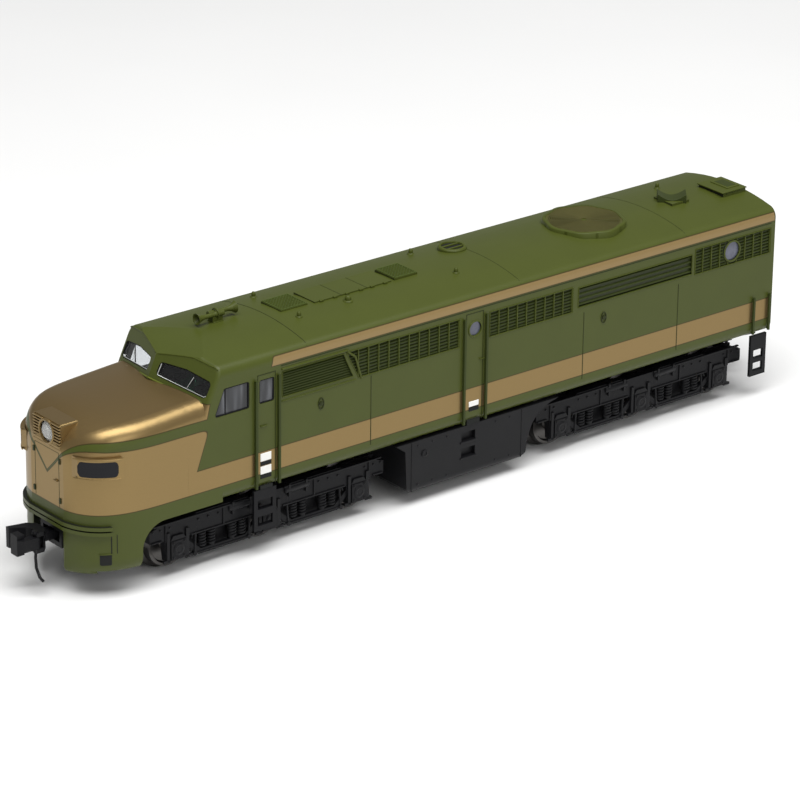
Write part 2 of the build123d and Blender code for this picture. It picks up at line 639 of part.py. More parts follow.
def gear_blank(centre, teeth, phase, width, bore):
    """Straight-flanked spur gear about a line along Y through an (x, z) centre."""
    pitch_r = MODULE * teeth / 2
    tip_r, root_r = pitch_r + 0.9 * MODULE, pitch_r - 1.15 * MODULE
    half_pitch = (PITCH - TOOTH_THIN) / 4 / pitch_r
    half_tip, half_root = 0.42 * half_pitch, 1.75 * half_pitch
    points = []
    for tooth in range(teeth):
        middle = phase + 2 * pi * tooth / teeth
        for radius, angle in ((root_r, -half_root), (tip_r, -half_tip),
                              (tip_r, half_tip), (root_r, half_root)):
            points.append((radius * cos(middle + angle), radius * sin(middle + angle)))
    plane = Plane(origin=(centre[0], -width / 2, centre[1]), x_dir=(1, 0, 0), z_dir=(0, 1, 0))
    with BuildSketch(plane) as outline:
        with BuildLine():
            Polyline(*points, close=True)
        make_face()
        Circle(bore, mode=Mode.SUBTRACT)
    extrude(outline.sketch, amount=width)


def y_disc(x, z, radius, y0, y1, bore=None, mode=Mode.ADD):
    with BuildSketch(Plane(origin=(x, y0, z), x_dir=(1, 0, 0), z_dir=(0, 1, 0))) as disc:
        Circle(radius)
        if bore:
            Circle(bore, mode=Mode.SUBTRACT)
    extrude(disc.sketch, amount=y1 - y0, mode=mode)


WORM_WHEEL_R = MODULE * WORM_WHEEL_TEETH / 2
IDLER_R = MODULE * IDLER_TEETH / 2
AXLE_GEAR_R = MODULE * AXLE_TEETH / 2
WHEEL_CENTRE = (0.0, WORM_WHEEL_Z)
WHEEL_PHASE = -pi / 2     # a tooth points straight up into the worm
WORM_WHEEL_WIDTH, IDLER_WIDTH, AXLE_GEAR_WIDTH = 0.9, 1.2, 1.4


def train(end):
    """Idler centre and the tooth angles of idler and axle gear towards one end (+1 or -1)."""
    axle = (AXLE_SPACING, AXLE_Z)
    x, z = mesh_point(axle, AXLE_GEAR_R + IDLER_R, WHEEL_CENTRE, WORM_WHEEL_R + IDLER_R)
    idler, axle = (end * x, z), (end * AXLE_SPACING, AXLE_Z)
    idler_phase = meshed_phase(WHEEL_PHASE, WORM_WHEEL_TEETH, IDLER_TEETH,
                               sketch_angle(WHEEL_CENTRE, idler))
    axle_phase = meshed_phase(idler_phase, IDLER_TEETH, AXLE_TEETH, sketch_angle(idler, axle))
    return idler, idler_phase, axle_phase


# the worms: a core with one helical thread, and stub shafts that run in the bearings
THREAD_HALF_LENGTH = 3 * PITCH
WORM_CORE_HALF_LENGTH = 4.2
with BuildPart() as worms:
    for truck_x, inner_end in ((FRONT_TRUCK_X, -1), (REAR_TRUCK_X, 1)):
        core_ends = (truck_x - WORM_CORE_HALF_LENGTH, truck_x + WORM_CORE_HALF_LENGTH)
        shaft_disc(*core_ends, WORM_PITCH_R - 1.15 * MODULE)
        shaft_disc(truck_x - 7.6, truck_x + 7.6, SHAFT_R)
        stub = sorted((truck_x + inner_end * 7.0, MOTOR_X - inner_end * 16.8))
        shaft_disc(*stub, SHAFT_R)
        root_r, tip_r = WORM_PITCH_R - 1.25 * MODULE, WORM_PITCH_R + 0.9 * MODULE
        # the helix starts on the upper side, so with whole turns either side of the truck
        # centre it crosses the lowest line half a pitch from there, astride the wheel's tooth
        helix = Helix(pitch=PITCH, height=2 * THREAD_HALF_LENGTH, radius=WORM_PITCH_R,
                      center=(truck_x - THREAD_HALF_LENGTH, 0, SHAFT_Z), direction=(1, 0, 0))
        start = helix @ 0
        radial = (start - Vector(start.X, 0, SHAFT_Z)).normalized()
        half = (PITCH - TOOTH_THIN) / 4
        section_plane = Plane(origin=start, x_dir=radial, z_dir=helix % 0)
        with BuildSketch(section_plane) as thread:
            with BuildLine():
                inner, outer = root_r - WORM_PITCH_R, tip_r - WORM_PITCH_R
                Polyline((inner, -1.5 * half), (outer, -0.5 * half), (outer, 0.5 * half),
                         (inner, 1.5 * half), close=True)
            make_face()
        sweep(thread.sketch, path=helix, is_frenet=True)
save(worms, "worms")

with BuildPart() as worm_bearings:
    for truck_x in (FRONT_TRUCK_X, REAR_TRUCK_X):
        for end in (-1, 1):
            x = truck_x + end * BEARING_OFFSET
            shaft_disc(x - BEARING_LENGTH / 2, x + BEARING_LENGTH / 2, BEARING_R, SHAFT_R + FIT)
save(worm_bearings, "worm_bearings")


# ---------------------------------------------------------------- trucks
SIDE_INNER, SIDE_OUTER, JOURNAL_OUTER = 6.6, 7.7, 8.1
TRUCK_HALF_LENGTH = 19.1
PLATE_IN, PLATE_OUT = 1.0, 2.2
COVER_LOW_Z, COVER_TOP_Z = 0.3, 0.85
HOUSING_TOP_Z = FRAME_LOW_Z - GAP
SLEEVE_R = 0.9
TIP_R, TIP_REACH = 0.5, 6.95
# right-hand half of the side frame outline, from the middle of the top to the middle below
SIDE_FRAME = ((0, 7.6), (2.6, 7.6), (3.4, 7.9), (11.6, 7.9), (12.6, 7.6), (17.0, 7.6),
              (19.1, 7.0), (19.1, 5.4), (16.7, 5.2), (16.4, 2.2), (13.1, 2.2), (12.8, 5.0),
              (1.9, 5.0), (1.6, 2.2), (0, 2.2))
EQUALIZER = ((12.9, 4.3), (10.9, 2.6), (3.8, 2.6), (1.8, 4.3), (1.8, 3.4), (3.4, 1.9),
             (11.3, 1.9), (12.9, 3.4))


def plan_profile(outline, truck_x, mirror_end=1):
    return [(truck_x + mirror_end * x, z) for x, z in outline]


def side_frames(truck_x):
    with BuildPart() as frames:
        for side in (1, -1):
            for end in (1, -1):
                with BuildSketch(along_y(y=side * SIDE_OUTER)) as outline:
                    with BuildLine():
                        Polyline(*plan_profile(SIDE_FRAME, truck_x, end), close=True)
                    make_face()
                extrude(outline.sketch, amount=side * (SIDE_OUTER - SIDE_INNER))
                with BuildSketch(along_y(y=side * (SIDE_OUTER - 0.1))) as bar:
                    with BuildLine():
                        Polyline(*plan_profile(EQUALIZER, truck_x, end), close=True)
                    make_face()
                extrude(bar.sketch, amount=side * 0.6)
                arm_x = truck_x + end * 7.4
                box_between((arm_x - 1.4, side * PLATE_OUT, 5.3), (arm_x + 1.4, side * SIDE_INNER, 7.2))
                for spring in (-1.6, 1.6):
                    with BuildSketch(Plane.XY.offset(2.5)) as coil:
                        with Locations((arm_x + spring, side * (SIDE_OUTER - 0.55))):
                            Circle(0.5)
                    extrude(coil.sketch, amount=2.8)
            for axle in (-1, 0, 1):
                x = truck_x + axle * AXLE_SPACING
                box_between((x - 1.2, side * SIDE_INNER, 2.4), (x + 1.2, side * JOURNAL_OUTER, 5.0))
                low, high = sorted((side * (SIDE_INNER - 0.1), side * (TIP_REACH + 0.15)))
                y_disc(x, AXLE_Z, TIP_R + 0.05, low, high, mode=Mode.SUBTRACT)
        for end in (1, -1):
            box_between((truck_x + end * 18.5, -SIDE_INNER, 5.4),
                        (truck_x + end * TRUCK_HALF_LENGTH, SIDE_INNER, 6.8))
    return frames


HOUSING = ((17.9, COVER_TOP_Z), (17.9, 6.6), (15.5, 9.2), (11.2, HOUSING_TOP_Z))


def gear_housing(truck_x):
    """Two cheek plates that carry the gear pins, tied together under a round turret."""
    with BuildPart() as housing:
        left_side = plan_profile(HOUSING, truck_x)
        right_side = plan_profile(reversed(HOUSING), truck_x, -1)
        for side in (1, -1):
            with BuildSketch(along_y(y=side * PLATE_IN)) as cheek:
                with BuildLine():
                    Polyline(*left_side, *right_side, close=True)
                make_face()
            extrude(cheek.sketch, amount=-side * (PLATE_OUT - PLATE_IN))
        for end in (1, -1):
            for x0, x1, z0, z1 in ((2.0, 3.2, COVER_TOP_Z, 2.2), (17.65, 17.9, 2.5, 5.0)):
                box_between((truck_x + end * x0, -PLATE_IN, z0), (truck_x + end * x1, PLATE_IN, z1))
        with BuildSketch(Plane.XY.offset(HOUSING_TOP_Z)) as turret:
            with Locations((truck_x, 0)):
                Circle(TURRET_R)
                Circle(TURRET_R - 0.9, mode=Mode.SUBTRACT)
        extrude(turret.sketch, amount=TURRET_TOP_Z - HOUSING_TOP_Z)
        for axle in (-1, 0, 1):
            x = truck_x + axle * AXLE_SPACING
            bearing = SLEEVE_R + FIT
            y_disc(x, AXLE_Z, bearing, -PLATE_OUT - 1, PLATE_OUT + 1, mode=Mode.SUBTRACT)
            box_between((x - bearing, -PLATE_OUT - 1, 0), (x + bearing, PLATE_OUT + 1, AXLE_Z),
                        mode=Mode.SUBTRACT)
        for x, z in pin_places():
            y_disc(truck_x + x, z, PIN_R, -PLATE_OUT - 1, PLATE_OUT + 1, mode=Mode.SUBTRACT)
    return housing


def pin_places():
    return [WHEEL_CENTRE] + [train(end)[0] for end in (1, -1)]


def wheel_pair(x):
    """Two wheels, each turned in one piece with its stub axle and pointed tip."""
    with BuildPart() as wheels:
        for side in (1, -1):
            profile = ((0, 2.6), (TIP_R, 2.6), (TIP_R, 3.7), (3.3, 3.75), (FLANGE_R, 3.95),
                       (FLANGE_R, 4.2), (TREAD_R + 0.05, 4.5), (TREAD_R - 0.05, 5.75),
                       (2.75, 5.75), (2.55, 5.35), (1.2, 5.35), (1.0, 5.65), (TIP_R, 5.65),
                       (TIP_R, TIP_REACH - 0.15), (0.3, TIP_REACH), (0, TIP_REACH))
            plane = Plane(origin=(x, 0, AXLE_Z), x_dir=(1, 0, 0), z_dir=(0, 0, 1))
            with BuildSketch(plane) as section:
                with BuildLine():
                    Polyline(*[(r, side * y) for r, y in profile], close=True)
                make_face()
            revolve(section.sketch, axis=Axis((x, 0, AXLE_Z), (0, 1, 0)))
    return wheels


def axle_sleeve(x, phase=None):
    """Insulating sleeve between the wheels, with a moulded gear on the driven axles."""
    with BuildPart() as sleeve:
        y_disc(x, AXLE_Z, SLEEVE_R, -3.6, 3.6)
        if phase is not None:
            gear_blank((x, AXLE_Z), AXLE_TEETH, phase, AXLE_GEAR_WIDTH, SLEEVE_R)
        for low, high in ((-4.0, -2.6), (2.6, 4.0)):
            y_disc(x, AXLE_Z, TIP_R, low, high, mode=Mode.SUBTRACT)
    return sleeve


for truck, truck_x in (("front", FRONT_TRUCK_X), ("rear", REAR_TRUCK_X)):
    save(side_frames(truck_x), f"{truck}_truck_side_frames")
    save(gear_housing(truck_x), f"{truck}_gear_housing")

    with BuildPart() as bottom_cover:
        box_between((truck_x - 17.9, -PLATE_OUT, COVER_LOW_Z), (truck_x + 17.9, PLATE_OUT, COVER_TOP_Z))
        fillet(bottom_cover.edges().filter_by(Axis.Z), 0.8)
    save(bottom_cover, f"{truck}_bottom_cover")

    with BuildPart() as gear_pins:
        for x, z in pin_places():
            y_disc(truck_x + x, z, PIN_R, -PLATE_OUT, PLATE_OUT)
    save(gear_pins, f"{truck}_gear_pins")

    with BuildPart() as pickup_strips:
        for side in (1, -1):
            box_between((truck_x - 16.3, side * 6.35, 4.5), (truck_x + 16.3, side * 6.55, 5.1))
    save(pickup_strips, f"{truck}_pickup_strips")

    with BuildPart() as worm_wheel:
        gear_blank((truck_x, WORM_WHEEL_Z), WORM_WHEEL_TEETH, WHEEL_PHASE, WORM_WHEEL_WIDTH,
                   PIN_R + FIT)
    save(worm_wheel, f"{truck}_worm_wheel")

    for end, place in ((1, "leading"), (-1, "trailing")):
        idler, idler_phase, axle_phase = train(end)
        with BuildPart() as idler_gear:
            gear_blank((truck_x + idler[0], idler[1]), IDLER_TEETH, idler_phase, IDLER_WIDTH,
                       PIN_R + FIT)
        save(idler_gear, f"{truck}_{place}_idler")
        axle_x = truck_x + end * AXLE_SPACING
        save(axle_sleeve(axle_x, axle_phase), f"{truck}_{place}_axle")
        save(wheel_pair(axle_x), f"{truck}_{place}_wheels")
    save(axle_sleeve(truck_x), f"{truck}_centre_axle")
    save(wheel_pair(truck_x), f"{truck}_centre_wheels")


# ---------------------------------------------------------------- couplers
PIVOT_R, EYE_R = 0.45, 0.95
KNUCKLE_PIN_R = 0.3
COUPLERS = (("front", 1, 55.6, 53.9, 57.9), ("rear", -1, -57.2, -55.85, -58.7))
BOX_LOW_Z, BOX_TOP_Z = 5.7, 9.0
HEAD_X, HEAD_END = 59.8, 63.1
KNUCKLE_X, KNUCKLE_Y = 61.1, 1.15

with BuildPart() as coupler_boxes:
    for _, end, pivot_x, inner_x, outer_x in COUPLERS:
        box_between((inner_x, -2.3, BOX_LOW_Z), (outer_x, 2.3, BOX_TOP_Z))
        box_between((inner_x + end * 0.3, -1.8, COUPLER_Z - 0.75), (outer_x + end, 1.8, COUPLER_Z + 0.75),
                    mode=Mode.SUBTRACT)
        with Locations((pivot_x, 0, BOX_LOW_Z)):
            Cylinder(PIVOT_R, BOX_TOP_Z - BOX_LOW_Z,
                     align=(Align.CENTER, Align.CENTER, Align.MIN))
save(coupler_boxes, "coupler_boxes")

for name, end, pivot_x, _, outer_x in COUPLERS:
    # shank with its eye, then the head: a thick base with the guard arm on one side
    with BuildPart() as arm:
        with BuildSketch(Plane.XY.offset(COUPLER_Z - 0.6)) as shank:
            with Locations((pivot_x, 0)):
                Circle(EYE_R)
            with BuildLine():
                Polyline((pivot_x, -0.65), (end * HEAD_X, -0.75), (end * HEAD_X, 0.75),
                         (pivot_x, 0.65), close=True)
            make_face()
            with Locations((pivot_x, 0)):
                Circle(PIVOT_R + 0.05, mode=Mode.SUBTRACT)
        extrude(shank.sketch, amount=1.2)
        with BuildSketch(Plane.XY.offset(COUPLER_Z - 1.4)) as head:
            with BuildLine():
                Polyline((end * (HEAD_X - 0.4), -end * 0.9), (end * (HEAD_X + 0.6), -end * 1.9),
                         (end * HEAD_END, -end * 2.5), (end * HEAD_END, -end * 1.9),
                         (end * (HEAD_X + 1.5), -end * 0.7), (end * (HEAD_X + 1.0), end * 0.3),
                         (end * (KNUCKLE_X + 0.2), end * 0.55), (end * (KNUCKLE_X + 0.2), end * 1.75),
                         (end * (HEAD_X + 0.4), end * 1.75), (end * (HEAD_X - 0.4), end * 0.9),
                         close=True)
            make_face()
        extrude(head.sketch, amount=2.8)
        # slot between the ears that hold the knuckle
        box_between((end * (KNUCKLE_X - 0.85), end * 0.25, COUPLER_Z - 0.85),
                    (end * (KNUCKLE_X + 1), end * 2.5, COUPLER_Z + 0.85), mode=Mode.SUBTRACT)
        with Locations((end * KNUCKLE_X, end * KNUCKLE_Y, COUPLER_Z)):
            Cylinder(KNUCKLE_PIN_R, 2.8)
    save(arm, f"{name}_coupler_arm")

    with BuildPart() as knuckle:
        with BuildSketch(Plane.XY.offset(COUPLER_Z - 0.8)) as hook:
            with Locations((end * KNUCKLE_X, end * KNUCKLE_Y)):
                Circle(0.62)
            with BuildLine():
                Polyline((end * KNUCKLE_X, end * 0.6), (end * (KNUCKLE_X + 1.5), end * 0.75),
                         (end * (KNUCKLE_X + 1.6), -end * 0.35), (end * COUPLER_REACH, -end * 0.5),
                         (end * COUPLER_REACH, end * 1.0), (end * (KNUCKLE_X + 2.0), end * 1.75),
                         (end * KNUCKLE_X, end * 1.77), close=True)
            make_face()
            with Locations((end * KNUCKLE_X, end * KNUCKLE_Y)):
                Circle(KNUCKLE_PIN_R + 0.04, mode=Mode.SUBTRACT)
        extrude(hook.sketch, amount=1.6)
        # the face of the hook is as tall as the head
        box_between((end * (KNUCKLE_X + 1.6), -end * 0.45, COUPLER_Z - 1.4),
                    (end * COUPLER_REACH, end * 1.0, COUPLER_Z + 1.4))
    save(knuckle, f"{name}_knuckle")
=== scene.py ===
import json
import math

import bmesh
import bpy
from mathutils import Matrix, Vector


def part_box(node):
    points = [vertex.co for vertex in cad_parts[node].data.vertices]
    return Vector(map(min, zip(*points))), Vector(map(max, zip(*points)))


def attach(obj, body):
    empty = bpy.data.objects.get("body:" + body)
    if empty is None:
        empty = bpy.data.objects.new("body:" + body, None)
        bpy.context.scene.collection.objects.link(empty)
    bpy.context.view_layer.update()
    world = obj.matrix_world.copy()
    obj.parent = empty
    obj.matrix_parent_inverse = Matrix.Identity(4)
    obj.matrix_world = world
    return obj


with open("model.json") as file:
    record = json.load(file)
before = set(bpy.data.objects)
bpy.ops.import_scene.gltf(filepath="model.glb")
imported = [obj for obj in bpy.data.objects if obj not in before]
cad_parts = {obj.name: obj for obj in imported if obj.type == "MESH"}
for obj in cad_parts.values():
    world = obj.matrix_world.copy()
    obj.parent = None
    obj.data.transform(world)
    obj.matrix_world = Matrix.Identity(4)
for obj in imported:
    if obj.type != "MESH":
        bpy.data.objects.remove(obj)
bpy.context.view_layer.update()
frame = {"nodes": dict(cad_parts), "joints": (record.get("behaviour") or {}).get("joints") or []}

MM = 0.001

# ---------- sizes taken from the frame, in millimetres


def node_box(name):
    low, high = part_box(name)
    return low / MM, high / MM


JOINTS = {j["name"]: j for j in frame["joints"]}


def joint_place(name):
    return [v / MM for v in JOINTS[name]["pos_m"]]


SHELL_LOW, SHELL_HIGH = node_box("body_shell")
REAR_X = SHELL_LOW.x
HALF = SHELL_HIGH.y             # side sheet of the shell; grab rails stand outside it
FAN_LOW, FAN_HIGH = node_box("roof_fan")
FAN_X = (FAN_LOW.x + FAN_HIGH.x) / 2
FAN_R = (FAN_HIGH.x - FAN_LOW.x) / 2
LENS_LOW, LENS_HIGH = node_box("headlight_lens")
LENS_Z = (LENS_LOW.z + LENS_HIGH.z) / 2
REFLECTOR_X = 57.7
TANK_HALF = node_box("fuel_tank_cover")[1].y
AXLE_X, _, AXLE_Z = joint_place("front_leading_wheelset_spin")
AXLE_SPACING = AXLE_X - joint_place("front_truck_swivel")[0]
COUPLER_Z = joint_place("front_coupler_swing")[2]


def circle(count):
    """Cosine and sine of equally spaced angles round a full turn, the first one repeated at the end."""
    return [(math.cos(2 * math.pi * k / count), math.sin(2 * math.pi * k / count)) for k in range(count + 1)]


# ---------- material helpers
class Tree:
    """Small wrapper that builds a Principled material from node expressions."""

    def __init__(self, name):
        self.mat = bpy.data.materials.new(name)
        self.mat.use_nodes = True
        self.nt = self.mat.node_tree
        self.nt.nodes.clear()
        self.out = self.node("ShaderNodeOutputMaterial")
        self.bsdf = self.node("ShaderNodeBsdfPrincipled")
        self.link(self.bsdf.outputs[0], self.out.inputs["Surface"])

    def node(self, kind, **props):
        n = self.nt.nodes.new(kind)
        for key, value in props.items():
            setattr(n, key, value)
        return n

    def link(self, a, b):
        self.nt.links.new(a, b)

    def feed(self, socket, value):
        if isinstance(value, bpy.types.NodeSocket):
            self.link(value, socket)
        else:
            socket.default_value = value

    def math(self, operation, *values, clamp=False):
        n = self.node("ShaderNodeMath", operation=operation, use_clamp=clamp)
        for socket, value in zip(n.inputs, values):
            self.feed(socket, value)
        return n.outputs[0]

    def lowest(self, *values):
        result = values[0]
        for value in values[1:]:
            result = self.math("MINIMUM", result, value)
        return result

    def highest(self, *values):
        result = values[0]
        for value in values[1:]:
            result = self.math("MAXIMUM", result, value)
        return result

    def millimetres(self):
        """Position in the row frame as three sockets in millimetres."""
        coord = self.node("ShaderNodeTexCoord")
        split = self.node("ShaderNodeSeparateXYZ")
        self.link(coord.outputs["Object"], split.inputs[0])
        return [self.math("MULTIPLY", split.outputs[i], 1 / MM) for i in range(3)]

    def noise(self, scale_mm, detail=3.0, roughness=0.55, stretch=(1, 1, 1)):
        """Noise whose features are about scale_mm across, 0 to 1."""
        coord = self.node("ShaderNodeTexCoord")
        mapping = self.node("ShaderNodeMapping")
        self.link(coord.outputs["Object"], mapping.inputs["Vector"])
        mapping.inputs["Scale"].default_value = [1 / (MM * s) for s in stretch]
        tex = self.node("ShaderNodeTexNoise")
        self.link(mapping.outputs[0], tex.inputs["Vector"])
        tex.inputs["Scale"].default_value = 1 / scale_mm
        tex.inputs["Detail"].default_value = detail
        tex.inputs["Roughness"].default_value = roughness
        return tex.outputs["Fac"]

    def curve(self, value, points, low, high):
        """Piecewise smooth function of a socket: points are (input, output) pairs."""
        scaled = self.math("DIVIDE", value, points[-1][0])
        n = self.node("ShaderNodeFloatCurve")
        self.link(scaled, n.inputs["Value"])
        line = n.mapping.curves[0]
        while len(line.points) < len(points):
            line.points.new(0.5, 0.5)
        for place, (x, y) in zip(line.points, points):
            place.location = (x / points[-1][0], (y - low) / (high - low))
        n.mapping.update()
        return self.math("MULTIPLY_ADD", n.outputs[0], high - low, low)

    def step(self, distance, softness):
        """0 below zero, 1 above, softened over a distance in millimetres."""
        return self.math("MULTIPLY_ADD", distance, 1 / softness, 0.5, clamp=True)

    def mix(self, fac, a, b):
        n = self.node("ShaderNodeMix", data_type="RGBA")
        self.feed(n.inputs["Factor"], fac)
        self.feed(n.inputs[6], a if isinstance(a, bpy.types.NodeSocket) else (*a, 1))
        self.feed(n.inputs[7], b if isinstance(b, bpy.types.NodeSocket) else (*b, 1))
        return n.outputs[2]

    def blend_value(self, fac, a, b):
        n = self.node("ShaderNodeMix", data_type="FLOAT")
        self.feed(n.inputs["Factor"], fac)
        self.feed(n.inputs[2], a)
        self.feed(n.inputs[3], b)
        return n.outputs[0]

    def bump(self, height, strength, distance_mm):
        n = self.node("ShaderNodeBump")
        n.inputs["Strength"].default_value = strength
        n.inputs["Distance"].default_value = distance_mm * MM
        self.link(height, n.inputs["Height"])
        self.link(n.outputs[0], self.bsdf.inputs["Normal"])

    def set(self, **values):
        for key, value in values.items():
            self.feed(self.bsdf.inputs[key.replace("_", " ")], value)


GREEN = (0.052, 0.064, 0.0100)
GREEN_DARK = (0.022, 0.028, 0.007)
GOLD = (0.240, 0.166, 0.070)
EDGE_LINE = (0.030, 0.022, 0.008)


def coated(name, colour, spread=0.12, roughness=0.42, grain_mm=0.25, grain=0.12, metallic=0.0):
    """A moulded or painted surface: mottled colour, uneven gloss and a fine grain."""
    t = Tree(name)
    cloud = t.noise(3.0)
    dark = tuple(c * (1 - spread) for c in colour)
    light = tuple(min(1.0, c * (1 + spread)) for c in colour)
    t.set(Base_Color=t.mix(cloud, dark, light))
    fine = t.noise(grain_mm, detail=2.0)
    t.set(Roughness=t.math("MULTIPLY_ADD", fine, 0.16, roughness - 0.08))
    t.bsdf.inputs["Metallic"].default_value = metallic
    t.bsdf.inputs["Specular IOR Level"].default_value = 0.15
    t.bump(fine, grain, 0.02)
    return t.mat


def brushed(name, colour, roughness=0.3, stretch=(1, 12, 1)):
    """Turned or drawn metal with fine lines along one axis."""
    t = Tree(name)
    lines = t.noise(0.12, detail=4.0, stretch=stretch)
    dark = tuple(c * 0.75 for c in colour)
    t.set(Base_Color=t.mix(lines, dark, colour))
    t.set(Roughness=t.math("MULTIPLY_ADD", lines, 0.25, roughness - 0.1))
    t.bsdf.inputs["Metallic"].default_value = 1.0
    t.bump(lines, 0.15, 0.01)
    return t.mat


def clear(name, tint, roughness=0.04, transmission=0.85):
    t = Tree(name)
    smear = t.noise(1.2)
    t.set(Base_Color=t.mix(smear, tuple(c * 0.92 for c in tint), tint))
    t.set(Roughness=t.math("MULTIPLY_ADD", smear, 0.03, roughness))
    t.bsdf.inputs["Transmission Weight"].default_value = transmission
    t.bsdf.inputs["IOR"].default_value = 1.49
    return t.mat


def side_glazing_with_painted_light(name):
    """Side glazing. Left cab windows: opaque near black, painted shade of the cab interior, with upright pale
    streaks as painted reflections. Portholes: opaque grey-blue. Right cab windows: clear.
    """
    t = Tree(name)
    x, y, z = t.millimetres()
    painted_reflection = t.noise(1.1, detail=1.0, stretch=(1, 1, 9))
    painted_reflection = t.math("POWER", painted_reflection, 5.5)
    # painted shade and painted reflection: near-black panes with pale upright streaks in the left cab windows
    cab = t.mix(painted_reflection, (0.010, 0.011, 0.013), (0.55, 0.57, 0.62))
    port = t.mix(t.noise(1.0), (0.05, 0.055, 0.08), (0.14, 0.145, 0.19))
    behind = t.step(t.math("SUBTRACT", 10.0, x), 1.0)
    right = t.step(t.math("MULTIPLY", y, -1.0), 0.5)
    right = t.math("MULTIPLY", right, t.math("SUBTRACT", 1.0, behind))
    t.set(Base_Color=t.mix(right, t.mix(behind, cab, port), (0.90, 0.92, 0.94)))
    smear = t.math("MULTIPLY_ADD", painted_reflection, 0.1, 0.08)
    t.set(Roughness=t.math("MULTIPLY", smear, t.math("SUBTRACT", 1.0, right)))
    t.set(Transmission_Weight=right)
    t.bsdf.inputs["Specular IOR Level"].default_value = 0.4
    return t.mat


# heights of the paint bands on the nose against distance from the centre line
BAND_TOP = ((0, 16.0), (1.6, 17.6), (3.1, 19.15), (4.7, 20.4), (6.4, 21.15), (8.0, 21.4), (10.0, 21.45))
BAND_FOOT = ((0, 15.65), (1.6, 17.2), (3.1, 18.7), (4.9, 19.75), (6.8, 20.25), (8.6, 20.2), (10.0, 20.0))
LOWER_STRIPE = (11.6, 14.7)
UPPER_STRIPE = (26.1, 27.35)
SIDE_START = 8.8                # stripes are painted only where y is more than this
STRIPE_FRONT_X = 45.0           # the lower stripe runs on under the nose patch


def livery(name="livery_paint"):
    """Two-tone scheme laid out by position: green body, bronze-gold bands and nose."""
    t = Tree(name)
    x, y, z = t.millimetres()
    y = t.math("ABSOLUTE", y)
    low, high = LOWER_STRIPE

    def above(level):
        return t.math("SUBTRACT", z, level)

    def below(level):
        return t.math("SUBTRACT", level, z)

    on_side = t.math("SUBTRACT", y, SIDE_START)
    lower = t.lowest(above(low), below(high), t.math("SUBTRACT", STRIPE_FRONT_X, x), on_side)
    # the rear edge of the nose patch leans forward towards its foot
    lean = t.math("MULTIPLY_ADD", z, 0.36, t.math("SUBTRACT", x, 47.3))
    foot = t.curve(y, BAND_FOOT, 10, 30)
    patch = t.math("SMOOTH_MIN", below(foot), lean, 1.7)
    patch = t.lowest(patch, above(low))
    top = t.curve(y, BAND_TOP, 10, 30)
    # the hood's gold stops at the foot of the windshields
    rake = t.math("MULTIPLY_ADD", y, 0.2542, t.math("MULTIPLY_ADD", x, 0.8757, -37.305))
    rake = t.math("ADD", rake, t.math("MULTIPLY", above(24.4), 0.4105))
    corner = t.math("MULTIPLY_ADD", z, 0.25, t.math("SUBTRACT", x, 45.75))
    rear_edge = t.highest(t.math("SUBTRACT", rake, 0.10), t.lowest(corner, below(23.4)))
    hood = t.lowest(above(top), rear_edge)
    slant = t.math("SUBTRACT", 29.7, t.math("MULTIPLY_ADD", below(27.6), -0.3, x))
    band = t.math("SMOOTH_MIN", slant, below(UPPER_STRIPE[1]), 0.5)
    upper = t.lowest(band, above(UPPER_STRIPE[0]), on_side)
    rear_wall = t.math("SUBTRACT", x, REAR_X + 0.12)
    distance = t.lowest(t.highest(lower, patch, hood, upper), rear_wall)
    gold = t.step(distance, 0.05)
    line = t.math("SUBTRACT", 1.0, t.step(t.math("SUBTRACT", t.math("ABSOLUTE", distance), 0.07), 0.06))

    cloud = t.noise(5.0)
    fine = t.noise(0.16, detail=2.0)
    green = t.mix(cloud, tuple(c * 0.93 for c in GREEN), tuple(c * 1.07 for c in GREEN))
    flake = t.math("MULTIPLY_ADD", fine, 0.35, 0.32, clamp=True)
    bronze = t.mix(flake, tuple(c * 0.85 for c in GOLD), tuple(c * 1.12 for c in GOLD))
    colour = t.mix(gold, green, bronze)
    colour = t.mix(t.math("MULTIPLY", line, 0.75), colour, EDGE_LINE)
    # painted shade inside the shell: faces whose normal points at the middle of the body are made near black
    normal = t.node("ShaderNodeSeparateXYZ")
    t.link(t.node("ShaderNodeNewGeometry").outputs["Normal"], normal.inputs[0])
    ahead = t.math("MAXIMUM", t.math("SUBTRACT", x, 38.0), 0.0)
    behind = t.math("MINIMUM", t.math("ADD", x, 50.0), 0.0)
    outward = t.math("MULTIPLY", normal.outputs[0], t.math("ADD", ahead, behind))
    outward = t.math("MULTIPLY_ADD", normal.outputs[1], t.millimetres()[1], outward)
    outward = t.math("MULTIPLY_ADD", normal.outputs[2], t.math("SUBTRACT", z, 18.0), outward)
    inside = t.step(t.math("MULTIPLY", outward, -1.0), 1.0)
    # painted shade: the backs of the side grille recesses are darkened
    recess_shade = t.step(t.lowest(t.math("SUBTRACT", 9.6, y), t.math("SUBTRACT", y, 9.2), above(20.9),
                           below(25.4), t.math("SUBTRACT", 28.6, x)), 0.1)
    colour = t.mix(t.math("MULTIPLY", recess_shade, 0.9), colour, (0.020, 0.028, 0.007))
    colour = t.mix(t.math("MULTIPLY", inside, 0.9), colour, (0.010, 0.011, 0.010))
    t.set(Base_Color=colour)
    # the upper stripe turns up with the eave and is painted flatter than the rest
    flatter = t.math("MULTIPLY_ADD", t.step(above(25.9), 0.1), -0.55, 0.8)
    t.set(Metallic=t.math("MULTIPLY", gold, flatter))
    t.bsdf.inputs["Specular IOR Level"].default_value = 0.22
    gloss = t.blend_value(gold, 0.40, 0.34)
    t.set(Roughness=t.math("MULTIPLY_ADD", fine, 0.08, t.math("SUBTRACT", gloss, 0.04)))
    t.bump(fine, 0.10, 0.012)
    return t.mat


